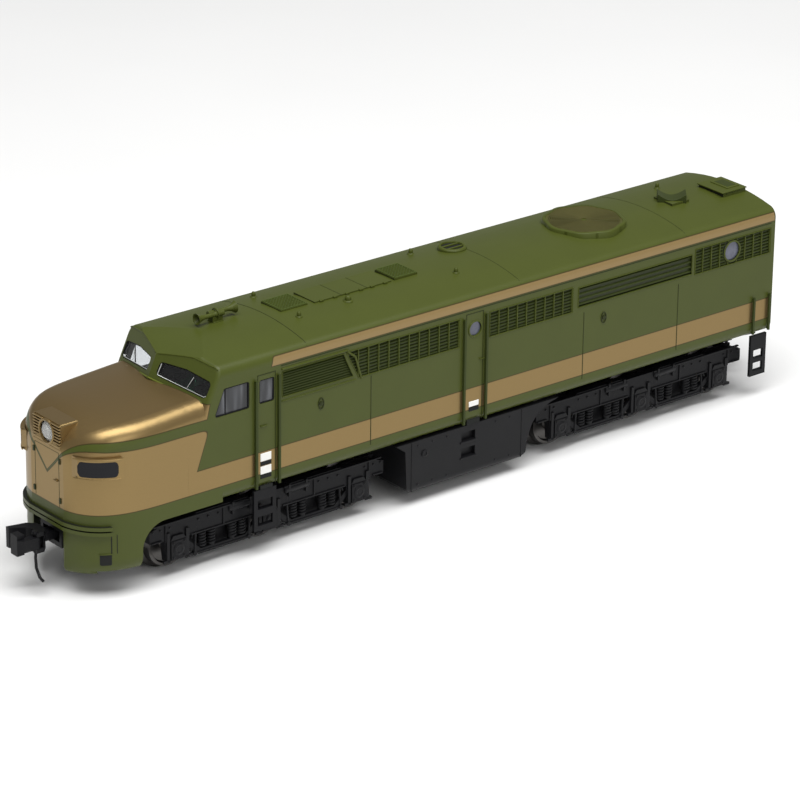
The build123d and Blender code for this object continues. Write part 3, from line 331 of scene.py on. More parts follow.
LIVERY = livery()
GREEN_PAINT = coated("green_paint", GREEN, spread=0.08, roughness=0.42)
GREEN_SHADE = coated("green_paint_shaded", GREEN_DARK, spread=0.12, roughness=0.5)
# a darker copy of the green paint as painted shade: grille slats, grab rails, steam vent cowl and rear hatch
# panel
GREEN_DEEP_SHADE = coated("green_paint_deep_shade", (0.030, 0.040, 0.008), spread=0.12, roughness=0.45)
# a lighter copy of the green paint as painted highlight, used on the ledge under the windshields
GREEN_PAINTED_HIGHLIGHT = coated("green_paint_highlight", (0.10, 0.115, 0.018), spread=0.12, roughness=0.32)
GREEN_SHADE_SATIN = coated("mesh_green", (0.050, 0.068, 0.014), spread=0.12, roughness=0.5)
GUARD = coated("fan_guard_olive", (0.075, 0.070, 0.022), spread=0.12, roughness=0.55)
GLOSS_BLACK = coated("gloss_black", (0.010, 0.010, 0.012), spread=0.2, roughness=0.16)
GOLD_PAINT = coated("gold_paint", GOLD, spread=0.10, roughness=0.38, metallic=0.8)
BLACK = coated("black_plastic", (0.006, 0.006, 0.007), spread=0.25, roughness=0.45)
BLACK_SATIN = coated("satin_black", (0.008, 0.008, 0.009), spread=0.2, roughness=0.38)
WHITE = coated("white_paint", (0.78, 0.77, 0.74), spread=0.05, roughness=0.45)
SILVER = coated("silver_line", (0.62, 0.64, 0.62), spread=0.06, roughness=0.35, metallic=0.6)
# near black as painted shade, for pockets, openings and the cab interior
PAINTED_SHADE_BLACK = coated("painted_shade_black", (0.012, 0.013, 0.012), spread=0.3, roughness=0.7)
GLASS_DARK = clear("cab_glazing", (0.90, 0.92, 0.94), roughness=0.0, transmission=1.0)
SIDE_GLAZING_PAINTED = side_glazing_with_painted_light("side_window_glazing")
LENS = clear("lens", (0.93, 0.93, 0.90), roughness=0.06, transmission=0.7)
CLEAR = clear("clear_plastic", (0.9, 0.93, 0.93))
STEEL = brushed("plated_steel", (0.60, 0.60, 0.60))
BRASS = brushed("turned_brass", (0.80, 0.58, 0.24))
BRONZE = brushed("phosphor_bronze", (0.72, 0.43, 0.20), stretch=(12, 1, 1))
WHEEL = brushed("blackened_nickel", (0.11, 0.105, 0.10), roughness=0.32, stretch=(1, 1, 1))
CASTING = coated("zinc_casting", (0.11, 0.11, 0.115), spread=0.25, roughness=0.5, grain_mm=0.4,
                 grain=0.35, metallic=0.8)
FERRITE = coated("ferrite", (0.05, 0.05, 0.052), roughness=0.6, metallic=0.3)
NYLON = coated("natural_nylon", (0.68, 0.64, 0.52), spread=0.06, roughness=0.5)
ACETAL = coated("gear_acetal", (0.72, 0.71, 0.66), spread=0.05, roughness=0.38)
COPPER = brushed("winding_copper", (0.72, 0.33, 0.15), stretch=(1, 1, 12))
LAMINATE = coated("circuit_laminate", (0.02, 0.16, 0.07), spread=0.2, roughness=0.35)

# the grab rails take the darker green as painted shade
NODE_MATERIALS = {
    "body_shell": LIVERY, "windshield_glazing": GLASS_DARK, "side_glazing": SIDE_GLAZING_PAINTED,
    "headlight_lens": LENS, "light_guide": CLEAR, "headlight_led": CLEAR,
    "number_boards": GOLD_PAINT, "air_horn": GREEN_PAINT, "roof_fan": GREEN_PAINT,
    "grab_rails": GREEN_DEEP_SHADE, "fuel_tank_cover": BLACK_SATIN, "cab_steps": BLACK,
    "rear_steps": BLACK, "coupler_boxes": BLACK, "frame_left": CASTING, "frame_right": CASTING,
    "frame_screws": STEEL, "motor_case": STEEL, "motor_shaft": STEEL, "motor_magnets": FERRITE,
    "motor_end_caps": NYLON, "motor_brushes": FERRITE, "motor_armature": COPPER,
    "flywheels": BRASS, "worms": BRASS, "worm_bearings": BRASS, "circuit_board": LAMINATE,
    "drive_couplings": ACETAL,
}
for truck in ("front", "rear"):
    for part in ("truck_side_frames", "gear_housing", "bottom_cover", "coupler_arm", "knuckle"):
        NODE_MATERIALS[f"{truck}_{part}"] = BLACK
    NODE_MATERIALS[f"{truck}_gear_pins"] = STEEL
    NODE_MATERIALS[f"{truck}_pickup_strips"] = BRONZE
    NODE_MATERIALS[f"{truck}_worm_wheel"] = ACETAL
    for place in ("leading", "centre", "trailing"):
        NODE_MATERIALS[f"{truck}_{place}_axle"] = ACETAL
        NODE_MATERIALS[f"{truck}_{place}_wheels"] = WHEEL
    for place in ("leading", "trailing"):
        NODE_MATERIALS[f"{truck}_{place}_idler"] = ACETAL


def finish_node(name, material):
    mesh = frame["nodes"][name].data
    mesh.materials.clear()
    mesh.materials.append(material)


for node_name, material in NODE_MATERIALS.items():
    finish_node(node_name, material)


# ---------- mesh helpers
class Shape:
    """Collects geometry in millimetres and becomes one piece riding on a body."""

    def __init__(self):
        self.bm = bmesh.new()

    def box(self, low, high):
        x0, x1 = sorted((low[0], high[0]))
        y0, y1 = sorted((low[1], high[1]))
        z0, z1 = sorted((low[2], high[2]))
        size = Matrix.Diagonal((x1 - x0, y1 - y0, z1 - z0, 1))
        centre = Matrix.Translation(((x0 + x1) / 2, (y0 + y1) / 2, (z0 + z1) / 2))
        bmesh.ops.create_cube(self.bm, size=1, matrix=centre @ size)

    def prism(self, outline, axis, start, end):
        """Extrudes a closed outline of 2-D points along x, y or z."""
        order = {"x": lambda p, t: (t, p[0], p[1]), "y": lambda p, t: (p[0], t, p[1]),
                 "z": lambda p, t: (p[0], p[1], t)}[axis]
        near = [self.bm.verts.new(order(p, start)) for p in outline]
        far = [self.bm.verts.new(order(p, end)) for p in outline]
        self.bm.faces.new(near)
        self.bm.faces.new(list(reversed(far)))
        for i in range(len(outline)):
            j = (i + 1) % len(outline)
            self.bm.faces.new((near[j], near[i], far[i], far[j]))

    def lathe(self, profile, centre, axis, segments=24):
        """Turns (radius, along) pairs about a line through centre along an axis vector."""
        axis = Vector(axis).normalized()
        side = axis.orthogonal().normalized()
        other = axis.cross(side)
        rings = []
        for radius, along in profile:
            base = Vector(centre) + axis * along
            if radius < 1e-6:
                rings.append([self.bm.verts.new(base)])
                continue
            ring = []
            for k in range(segments):
                a = 2 * math.pi * k / segments
                ring.append(self.bm.verts.new(base + (side * math.cos(a) + other * math.sin(a)) * radius))
            rings.append(ring)
        for a, b in zip(rings, rings[1:]):
            for k in range(segments):
                j = (k + 1) % segments
                corners = [a[k % len(a)], a[j % len(a)], b[j % len(b)], b[k % len(b)]]
                unique = list(dict.fromkeys(corners))
                if len(unique) > 2:
                    self.bm.faces.new(unique)

    def skin(self, rows):
        """Faces between each row of points and the next, closed round the rows."""
        for a, b in zip(rows, rows[1:]):
            for k in range(len(a)):
                j = (k + 1) % len(a)
                self.bm.faces.new((a[k], a[j], b[j], b[k]))

    def tube(self, path, radius, segments=8):
        """Round bar along a list of points, with flat ends."""
        path = [Vector(p) for p in path]
        rings = []
        normal = None
        for i, p in enumerate(path):
            ahead = path[min(i + 1, len(path) - 1)] - path[max(i - 1, 0)]
            ahead.normalize()
            if normal is None:
                normal = ahead.orthogonal().normalized()
            normal = (normal - ahead * normal.dot(ahead)).normalized()
            other = ahead.cross(normal)
            rings.append([self.bm.verts.new(p + (normal * math.cos(2 * math.pi * k / segments)
                                                 + other * math.sin(2 * math.pi * k / segments)) * radius)
                          for k in range(segments)])
        self.skin(rings)
        self.bm.faces.new(list(reversed(rings[0])))
        self.bm.faces.new(rings[-1])

    def edging(self, outline, y, radius):
        """Bars along the sides of a closed (x, z) outline."""
        for (x0, z0), (x1, z1) in zip(outline, outline[1:] + outline[:1]):
            self.tube([(x0, y, z0), (x1, y, z1)], radius, 6)

    def piece(self, name, body, material, smooth_angle=35, bevel=0.0, slot=None):
        bmesh.ops.recalc_face_normals(self.bm, faces=self.bm.faces)
        bmesh.ops.scale(self.bm, vec=(MM, MM, MM), verts=self.bm.verts)
        mesh = bpy.data.meshes.new(name)
        self.bm.to_mesh(mesh)
        self.bm.free()
        mesh.materials.append(material)
        obj = bpy.data.objects.new(name, mesh)
        bpy.context.scene.collection.objects.link(obj)
        if bevel:
            mod = obj.modifiers.new("edges", "BEVEL")
            mod.width = bevel * MM
            mod.segments = 2
            mod.limit_method = "ANGLE"
            mod.angle_limit = math.radians(30)
        mesh.shade_smooth()
        mesh.set_sharp_from_angle(angle=math.radians(smooth_angle))
        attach(obj, body)


SIDES = ((1, "left"), (-1, "right"))


# ---------- surfaces of the shell
ROOF_ARC_R, ROOF_ARC_Z = 36.245, -7.195
EAVE_R, EAVE_Y, EAVE_Z = 1.5, 8.3, 26.544
VISOR_X, VISOR_R = 34.0, 18.0
PLAN_X, PLAN_RUN, PLAN_POWER = 46.0, 12.5, 3     # plan of the nose: a superellipse cut off by a flat panel
NOSE_FLAT_X = 58.3
STEP = 0.02                                      # for slopes
SHIELD_BASE = Vector((42.6, 0, 24.4))
SHIELD_RUN_X, SHIELD_RUN_Y, SHIELD_RUN_Z = -2.05, 9.0, -1.2
SHIELD_RAKE = Vector((-1.5, 0, 3.2))
PANE = ((0.9, 0.85), (9.4, 0.8), (9.4, 3.1), (5.2, 3.3), (1.0, 2.75))


def roof_z(y, x=0.0):
    y = abs(y)
    if y < 8.65:
        z = ROOF_ARC_Z + math.sqrt(ROOF_ARC_R ** 2 - y * y)
    else:
        z = EAVE_Z + math.sqrt(max(0.0, EAVE_R ** 2 - (y - EAVE_Y) ** 2))
    crest = ROOF_ARC_R + ROOF_ARC_Z
    return min(z, crest - VISOR_R + math.sqrt(VISOR_R ** 2 - max(0.0, x - VISOR_X) ** 2))


def nose_x(y):
    """Front of the nose in plan at a distance from the centre line."""
    share = max(0.0, 1 - (abs(y) / HALF) ** PLAN_POWER)
    return min(NOSE_FLAT_X, PLAN_X + PLAN_RUN * share ** (1 / PLAN_POWER))


def side_y(x):
    """Half width of the nose in plan."""
    return HALF * max(0.0, 1 - (max(0.0, x - PLAN_X) / PLAN_RUN) ** PLAN_POWER) ** (1 / PLAN_POWER)


def side_path(x0, x1, side, out, count):
    """Points (x, y) along the outside of the nose between two stations."""
    points = []
    for k in range(count + 1):
        x = x0 + (x1 - x0) * k / count
        slope = Vector((STEP, side_y(x + STEP) - side_y(x))).normalized()
        point = Vector((x, side_y(x))) + Vector((-slope.y, slope.x)) * out
        points.append(Vector((point.x, side * point.y)))
    return points


def shield(side, u, v, w):
    """Point on a cab front face: along the base, up the rake, out of the face."""
    run = Vector((SHIELD_RUN_X, side * SHIELD_RUN_Y, SHIELD_RUN_Z)).normalized()
    normal = (run.cross(SHIELD_RAKE) * side).normalized()
    up = normal.cross(run * side)
    return SHIELD_BASE + run * u + up * v + normal * w


# ---------- side grilles
RECESS_Y = HALF - 0.35


def edge_x(outline, z):
    """Lowest and highest x of a closed (x, z) outline at a height."""
    hits = []
    for (x0, z0), (x1, z1) in zip(outline, outline[1:] + outline[:1]):
        if (z0 - z) * (z1 - z) <= 0 and z0 != z1:
            hits.append(x0 + (x1 - x0) * (z - z0) / (z1 - z0))
    return min(hits), max(hits)


PORTHOLE = (-50.6, 23.4, 1.65)      # x, z and outer radius of the porthole inside the rear grille


def grille(side, outline, slat_pitch, rib_pitch, name):
    """Horizontal slats with upright ribs filling a recess in the side sheet, clear of the porthole."""
    slats, ribs = Shape(), Shape()
    hole_x, hole_z, hole_r = PORTHOLE
    z_low, z_high = min(z for _, z in outline), max(z for _, z in outline)
    y_back, y_front = side * (RECESS_Y - 0.01), side * (HALF - 0.12)
    z = z_low + slat_pitch * 0.5
    while z < z_high - slat_pitch * 0.3:
        x0, x1 = edge_x(outline, z)
        profile = ((y_back, z), (y_back, z + 0.16), (y_front, z + 0.02), (y_front, z - 0.07))
        spans = [(x0 + 0.05, x1 - 0.05)]
        if x0 < hole_x < x1 and abs(z - hole_z) < hole_r:
            half = math.sqrt(hole_r ** 2 - (z - hole_z) ** 2)
            spans = [(x0 + 0.05, hole_x - half), (hole_x + half, x1 - 0.05)]
        for start, end in spans:
            slats.prism(profile, "x", start, end)
        z += slat_pitch
    heights = [z_low + 0.05 * k for k in range(int((z_high - z_low) / 0.05) + 1)]
    x = min(x for x, _ in outline) + 0.12
    while rib_pitch and x < max(x for x, _ in outline) - 0.05:
        inside = []
        for z in heights:
            x0, x1 = edge_x(outline, min(z, z_high - 1e-4))
            if x0 < x + 0.1 and x - 0.1 < x1:
                inside.append(z)
        if inside:
            spans = [(min(inside), max(inside))]
            if abs(x - hole_x) < hole_r:
                half = math.sqrt(hole_r ** 2 - (x - hole_x) ** 2)
                spans = [(min(inside), hole_z - half), (hole_z + half, max(inside))]
            for start, end in spans:
                if end - start > 0.1:
                    ribs.box((x - 0.08, y_back, start), (x + 0.08, side * (HALF - 0.01), end))
        x += rib_pitch
    # the slats are in the darker green: painted shade of the recess
    slats.piece(f"{name}_slats", "chassis", GREEN_DEEP_SHADE, slot="shell")
    if rib_pitch:
        ribs.piece(f"{name}_ribs", "chassis", GREEN_PAINT, bevel=0.03, slot="shell")


def grille_frame(side, outline, name):
    """Narrow raised border round a recess."""
    border = Shape()
    border.edging(outline, side * (HALF + 0.01), 0.07)
    border.piece(f"{name}_border", "chassis", GREEN_PAINT, slot="shell")


# bead that bends down between the cab and front grilles, and the ledge under the cab grille
BEAD = [(17.75 - 1.35 * math.sin(math.pi / 2 * k / 8) ** 2, 25.35 - 1.5 * k / 8) for k in range(9)]
BEAD += [(16.4 - 0.95 * k / 6, 23.85 - 3.0 * k / 6) for k in range(1, 7)]
for side, word in SIDES:
    bead = Shape()
    bead.tube([(28.5, side * HALF, 25.35)] + [(x, side * HALF, z) for x, z in BEAD], 0.16, 8)
    bead.tube([(28.5, side * HALF, 20.95), (16.4, side * HALF, 20.95)], 0.10, 6)
    bead.piece(f"grille_bead_{word}", "chassis", GREEN_PAINT, smooth_angle=60, slot="shell")


GRILLES = {
    "cab_grille": ([(28.4, 21.5), (16.8, 21.5), (17.9, 23.8), (18.4, 25.0), (28.4, 25.0)], 0.36, 0),
    "front_grille": ([(15.9, 21.1), (-1.2, 21.1), (-1.2, 25.1), (18.0, 25.1)], 0.46, 1.70),
    "middle_grille": ([(-6.4, 21.3), (-21.1, 21.3), (-21.1, 24.9), (-6.4, 24.9)], 0.46, 1.62),
    "shutter": ([(-22.1, 21.7), (-43.0, 21.7), (-43.0, 24.6), (-22.1, 24.6)], 0.72, 0),
    "rear_grille": ([(-43.6, 21.5), (-58.0, 21.5), (-58.0, 25.2), (-43.6, 25.2)], 0.46, 1.60),
}
for side, word in SIDES:
    for name, (outline, slat_pitch, rib_pitch) in GRILLES.items():
        grille(side, outline, slat_pitch, rib_pitch, f"{name}_{word}")
        grille_frame(side, outline, f"{name}_{word}")


# ---------- seams, steps and fillers on the sides
for side, word in SIDES:
    seams = Shape()
    y = side * (HALF + 0.012)
    thin = side * (HALF - 0.05)
    for x in (13.8, -23.2, -40.6):
        seams.box((x - 0.05, thin, 11.0), (x + 0.05, y, 20.8))
    for x in (29.55, 32.35, -5.25, -2.35):
        seams.box((x - 0.05, thin, 9.9), (x + 0.05, y, 25.4))
    for x0, x1 in ((29.5, 32.4), (-5.3, -2.3)):
        seams.box((x0, thin, 25.35), (x1, y, 25.45))
    # slim moulding under the upper stripe, dark green as painted shade under the grille tops
    seams.box((-58.0, thin, 25.82), (28.6, y, 25.95))
    seams.piece(f"side_seams_{word}", "chassis", GREEN_SHADE, slot="shell")

    treads, slots = Shape(), Shape()
    y = side * (HALF + 0.03)
    for x0, x1, z0, z1 in ((30.2, 31.95, 13.35, 14.45), (30.2, 31.95, 11.55, 12.65),
                           (-4.7, -3.0, 12.0, 12.75)):
        treads.box((x0, side * (HALF - 0.1), z0), (x1, y, z1))
    # dark boxes standing just proud of the side: painted shade in the step pockets
    for x0, x1, z0, z1 in ((30.2, 31.95, 12.75, 13.3), (30.2, 31.95, 10.95, 11.5), (30.0, 32.0, 9.45, 9.95),
                           (-4.7, -3.0, 11.35, 11.95), (-4.9, -2.7, 9.45, 10.15)):
        slots.box((x0, side * (HALF - 0.1), z0), (x1, side * (HALF + 0.02), z1))
    treads.piece(f"step_faces_{word}", "chassis", WHITE, bevel=0.05)
    slots.piece(f"step_slot_shade_{word}", "chassis", PAINTED_SHADE_BLACK)

    fillers, hardware = Shape(), Shape()
    for x, z in ((22.1, 19.0), (-26.8, 19.2)):
        fillers.tube([(x + 0.42 * c, side * (HALF + 0.03), z + 0.75 * d) for c, d in circle(20)], 0.09, 6)
        fillers.lathe(((0.3, 0), (0.3, 0.12), (0.18, 0.16), (0, 0.16)), (x, side * HALF, z), (0, side, 0), 12)
    fillers.piece(f"oval_fillers_{word}", "chassis", GREEN_SHADE, slot="shell")
    for x, z in ((31.8, 18.3), (-4.8, 18.6)):
        hardware.tube([(x, side * (HALF + 0.1), z), (x - 0.9, side * (HALF + 0.1), z)], 0.07, 8)
        hardware.lathe(((0.16, -0.05), (0.16, 0.1), (0, 0.12)), (x, side * HALF, z), (0, side, 0), 10)
    for x, z, r in ((-3.9, 23.1, 1.0), (-50.6, 23.4, 1.35)):
        hardware.lathe(((r, 0.0), (r + 0.02, 0.1), (r + 0.22, 0.1), (r + 0.26, 0.0)),
                       (x, side * (HALF - 0.02), z), (0, side, 0), 28)
    hardware.piece(f"door_hardware_{word}", "chassis", GREEN_PAINT, slot="shell")

    window = Shape()
    y = side * (HALF - 0.14)
    window.box((37.35, side * (HALF - 0.3), 21.4), (37.5, y, 25.0))
    window.edging([(39.15, 21.4), (33.8, 21.4), (33.8, 24.9), (37.65, 24.9)], y, 0.08)
    window.edging([(29.8, 21.5), (32.0, 21.5), (32.0, 24.6), (29.8, 24.6)], y, 0.07)
    window.piece(f"window_frames_{word}", "chassis", BLACK)

# ---------- cab interior seen through the glass, all near black as painted shade
cabin = Shape()
cabin.box((32.9, -8.7, 21.05), (33.3, 8.7, 27.0))
cabin.box((33.4, -8.2, 21.02), (36.3, 8.2, 21.1))
for side, _ in SIDES:
    cabin.box((34.6, side * 2.2, 21.1), (36.6, side * 5.4, 22.6))
    cabin.box((34.4, side * 2.2, 22.6), (34.9, side * 5.4, 25.4))
cabin.box((38.6, -7.6, 21.1), (40.0, 7.6, 23.0))
cabin.piece("cab_interior", "chassis", PAINTED_SHADE_BLACK, bevel=0.12)


# ---------- windshields
def pane_ring(shape, side, inset_out, inset_in, w0, w1):
    """Flat frame following the pane outline between two insets, standing from w0 to w1."""
    def inset_polygon(amount):
        points = [Vector(p) for p in PANE]
        moved = []
        for i, p in enumerate(points):
            before, after = points[i - 1], points[(i + 1) % len(points)]
            a, b = (p - before).normalized(), (after - p).normalized()
            na, nb = Vector((-a.y, a.x)), Vector((-b.y, b.x))
            bisector = (na + nb).normalized()
            moved.append(p + bisector * amount / max(0.3, bisector.dot(na)))
        return moved
    outer, inner = inset_polygon(inset_out), inset_polygon(inset_in)
    rings = []
    for polygon, w in ((outer, w0), (outer, w1), (inner, w1), (inner, w0)):
        rings.append([shape.bm.verts.new(shield(side, p.x, p.y, w)) for p in polygon])
    shape.skin(rings + rings[:1])


for side, word in SIDES:
    # black ring round the pane: a gasket, its black also the painted shade in the edge of the opening
    rim = Shape()
    pane_ring(rim, side, 0.02, 0.16, -0.24, -0.10)
    rim.piece(f"windshield_gasket_and_shade_{word}", "chassis", BLACK, bevel=0.03)
    # silver bead only along the lower and inner edges of the pane: a bead whose silver is a painted glint
    beading = Shape()
    corners = ((1.15, 2.55), (1.1, 1.1), (1.3, 1.0), (9.0, 0.98), (9.2, 1.2))
    beading.tube([shield(side, u, v, -0.14) for u, v in corners], 0.055, 6)
    beading.piece(f"windshield_bead_glint_{word}", "chassis", SILVER)
    wiper = Shape()
    wiper.tube([shield(side, 6.55, 2.75, -0.06), shield(side, 6.1, 1.15, -0.12)], 0.045, 6)
    wiper.piece(f"wiper_{word}", "chassis", SILVER)
    # ledge under the panes in the lighter green: painted highlight
    ledge = Shape()
    ledge.tube([shield(side, 0.05 + 9.05 * k / 12, 0.2, 0.03) for k in range(13)], 0.12, 8)
    ledge.piece(f"windshield_ledge_{word}", "chassis", GREEN_PAINTED_HIGHLIGHT, slot="shell")
    brow = Shape()
    path = []
    for k in range(25):
        u = 0.15 + 9.45 * k / 24
        v = 2.0
        point = shield(side, u, v, 0)
        while point.z < roof_z(point.y, point.x) - 0.04 and v < 5:
            v += 0.02
            point = shield(side, u, v, 0)
        path.append(shield(side, u, v, -0.02))
    brow.tube(path, 0.10, 8)
    brow.piece(f"windshield_brow_{word}", "chassis", GREEN_PAINT, slot="shell")

# ---------- nose
DOOR_HALF, SEAM = 2.62, 0.08
RIB_PITCH = 0.40
ribs = Shape()
for k in range(9):
    z = 19.5 + RIB_PITCH * k
    half_gap = math.sqrt(max(0.0, 1.72 ** 2 - (z - LENS_Z) ** 2))
    for side, _ in SIDES:
        ribs.box((57.4, side * max(0.02, half_gap), z - 0.09), (58.34, side * 2.95, z + 0.09))
ribs.piece("headlight_ribs", "chassis", GOLD_PAINT, bevel=0.04, slot="shell")
ring = Shape()
ring.lathe(((1.42, 0.25), (1.42, 0.65), (1.55, 0.71), (1.70, 0.65), (1.74, 0.25)),
           (REFLECTOR_X, 0, LENS_Z), (1, 0, 0), 40)
ring.piece("headlight_ring", "chassis", GOLD_PAINT, slot="shell")
reflector = Shape()
reflector.lathe(((0.05, -1.2), (0.9, -0.9), (1.3, 0.0)), (REFLECTOR_X, 0, LENS_Z), (1, 0, 0), 32)
reflector.piece("headlight_reflector", "chassis", SILVER)

seams = Shape()
for side, _ in SIDES:
    y = side * DOOR_HALF - SEAM / 2
    seams.box((nose_x(y) - 0.05, y, 11.7), (nose_x(y) + 0.015, y + SEAM, 19.1))
seams.box((58.25, -2.6, 19.04), (58.315, 2.6, 19.1))
for side, _ in SIDES:
    for z in (12.6, 18.0):
        x = nose_x(2.9)
        seams.box((x - 0.05, side * 2.66, z - 0.35), (x + 0.12, side * 3.0, z + 0.35))
seams.piece("nose_door_seams", "chassis", GREEN_SHADE, slot="shell")
latch = Shape()
latch.tube([(58.45, 1.6, 15.2), (58.45, 2.3, 15.2)], 0.08, 8)
latch.lathe(((0.18, 0.0), (0.18, 0.15), (0, 0.18)), (58.28, 2.2, 15.2), (1, 0, 0), 12)
latch.piece("nose_door_latch", "chassis", GOLD_PAINT, slot="shell")


def curved_plate(shape, side, x0, x1, z0, z1, out0, out1, radius, columns=28):
    """Plate wrapped round the nose corner with rounded ends, from out0 to out1 off the surface."""
    inner, outer = side_path(x0, x1, side, out0, columns), side_path(x0, x1, side, out1, columns)
    lengths = [0.0]
    for a, b in zip(outer, outer[1:]):
        lengths.append(lengths[-1] + (b - a).length)
    rows = []
    for p, q, along in zip(inner, outer, lengths):
        near_end = min(along, lengths[-1] - along)
        cut = radius - math.sqrt(max(0.0, radius ** 2 - max(0.0, radius - near_end) ** 2))
        rows.append([shape.bm.verts.new(v) for v in ((p.x, p.y, z0 + cut), (q.x, q.y, z0 + cut),
                                                     (q.x, q.y, z1 - cut), (p.x, p.y, z1 - cut))])
    shape.skin(rows)
    shape.bm.faces.new(rows[0])
    shape.bm.faces.new(list(reversed(rows[-1])))


for side, word in SIDES:
    board = Shape()
    curved_plate(board, side, 53.75, 57.5, 17.05, 19.15, 0.45, 0.56, 0.6)
    board.piece(f"number_board_face_{word}", "chassis", GLOSS_BLACK, bevel=0.03)
    rim = Shape()
    for z in (16.8, 19.4):
        path = [(p.x, p.y, z) for p in side_path(53.45, 57.75, side, 0.5, 24)]
        rim.tube(path, 0.11, 8)
    rim.piece(f"number_board_rim_{word}", "chassis", GOLD_PAINT, slot="number_board")
    # dark plates on the pilot: painted shade in its openings
    pilot = Shape()
    curved_plate(pilot, side, 54.6, 55.9, 4.75, 6.25, -0.05, 0.02, 0.1, 8)
    curved_plate(pilot, side, 54.55, 54.66, 6.3, 8.9, -0.05, 0.02, 0.02, 2)
    curved_plate(pilot, side, 53.9, 53.97, 6.3, 8.9, -0.05, 0.02, 0.02, 2)
    pilot.piece(f"pilot_opening_shade_{word}", "chassis", PAINTED_SHADE_BLACK)
    lip = Shape()
    curved_plate(lip, side, 54.5, 56.0, 6.2, 6.35, -0.05, 0.10, 0.05, 8)
    lip.piece(f"pilot_step_{word}", "chassis", GREEN_PAINT, bevel=0.03, slot="shell")


# ---------- roof
ROOF_HALF = 9.5


def roof_strip(shape, x, half_width, proud):
    """Narrow band across the roof following its section."""
    rows = []
    for k in range(49):
        y = -ROOF_HALF + 2 * ROOF_HALF * k / 48
        low, high = roof_z(y) - 0.05, roof_z(y) + proud
        rear, front = x - half_width, x + half_width
        rows.append([shape.bm.verts.new(v) for v in ((rear, y, low), (rear, y, high),
                                                     (front, y, high), (front, y, low))])
    shape.skin(rows)


joints_on_roof = Shape()
roof_strip(joints_on_roof, 24.2, 0.05, 0.02)
for x in (-12.0, -42.0):
    roof_strip(joints_on_roof, x, 0.04, 0.015)
joints_on_roof.piece("roof_seams", "chassis", GREEN_SHADE, slot="shell")


def mesh_panel(name, x0, x1, y0, y1, z, pitch):
    """Raised hatch with a diagonal wire mesh inside a frame."""
    wires = Shape()
    for sign in (1, -1):
        k = -40
        while k < 41:
            c = (x0 + x1) / 2 - sign * (y0 + y1) / 2 + k * pitch * math.sqrt(2)
            ends = []
            for y in (y0, y1):
                x = c + sign * y
                if x0 <= x <= x1:
                    ends.append((x, y))
            for x in (x0, x1):
                y = sign * (x - c)
                if y0 < y < y1:
                    ends.append((x, y))
            if len(ends) >= 2 and (Vector(ends[0]) - Vector(ends[1])).length > 0.3:
                wires.tube([(*ends[0], z + 0.02 * sign + 0.04), (*ends[1], z + 0.02 * sign + 0.04)], 0.05, 4)
            k += 1
    for a, b in (((x0, y0), (x1, y0)), ((x1, y0), (x1, y1)), ((x1, y1), (x0, y1)), ((x0, y1), (x0, y0))):
        wires.tube([(*a, z + 0.03), (*b, z + 0.03)], 0.1, 6)
    wires.piece(name, "chassis", GREEN_SHADE_SATIN, slot="shell")


mesh_panel("roof_mesh_front", 17.85, 21.95, -2.85, 1.15, 29.2, 0.36)
mesh_panel("roof_mesh_rear", -0.55, 3.05, -2.65, 1.25, 29.3, 0.36)
hatch = Shape()
for x in (8.0, 12.3):
    hatch.box((x - 0.05, -3.0, 29.18), (x + 0.05, 1.5, 29.215))
hatch.piece("roof_hatch_seams", "chassis", GREEN_SHADE, slot="shell")
hinges = Shape()
for x in (4.9, 7.1, 9.0, 11.3, 13.3, 15.6):
    hinges.box((x - 0.3, 1.3, 29.0), (x + 0.3, 1.7, 29.28))
hinges.piece("roof_hatch_hinges", "chassis", GREEN_PAINT, bevel=0.05, slot="shell")

lugs = Shape()
for x, y, r in ((20.9, -6.2, 0.4), (12.5, 3.2, 0.6), (-5.6, -6.0, 0.45), (-5.4, 3.8, 0.4),
                (21.0, 3.7, 0.4), (-49.6, -4.9, 0.4)):
    z = roof_z(y) - 0.05
    lugs.lathe(((r * 1.2, 0), (r * 1.15, 0.12), (r * 0.7, 0.22), (r * 0.75, 0.5), (r * 0.5, 0.78), (0, 0.85)),
               (x, y, z), (0, 0, 1), 16)
lugs.piece("roof_lugs", "chassis", GREEN_PAINT, smooth_angle=60, slot="shell")

stack = Shape()
stack.lathe(((2.05, -0.3), (2.0, 0.25), (1.85, 0.42), (1.55, 0.45), (1.5, 0.3), (1.5, -0.3)),
            (-10.8, -3.5, 28.93), (0, 0, 1), 40)
stack.box((-12.3, -4.2, 28.8), (-9.4, -3.9, 29.28))
stack.box((-12.3, -3.1, 28.8), (-9.4, -2.8, 29.28))
stack.piece("exhaust_stack", "chassis", GREEN_PAINT, bevel=0.04, slot="shell")
# dark disc inside the stack: painted shade of its mouth
mouth = Shape()
mouth.lathe(((0, 0), (1.52, 0), (1.52, 0.02), (0, 0.02)), (-10.8, -3.5, 29.08), (0, 0, 1), 32)
mouth.piece("exhaust_mouth_shade", "chassis", PAINTED_SHADE_BLACK)

# saddle-shaped cowl on its block, its two horns standing at opposite corners
cowl = Shape()
across = Vector((-0.776, 0.63, 0))
along = Vector((0.63, 0.776, 0))
centre = Vector((-47.3, 0.6, 0))
profile = [(-2.0, 28.9)]
profile += [(-2.0 + 4.0 * k / 16, 29.42 + 0.85 * abs(-1 + k / 8) ** 1.8) for k in range(17)]
profile += [(2.0, 28.9)]
rows = [[cowl.bm.verts.new(centre + across * a + along * b + Vector((0, 0, z))) for a, z in profile]
        for b in (-1.2, 1.2)]
cowl.bm.faces.new(rows[0])
cowl.bm.faces.new(list(reversed(rows[1])))
for i in range(len(profile)):
    j = (i + 1) % len(profile)
    cowl.bm.faces.new((rows[0][j], rows[0][i], rows[1][i], rows[1][j]))
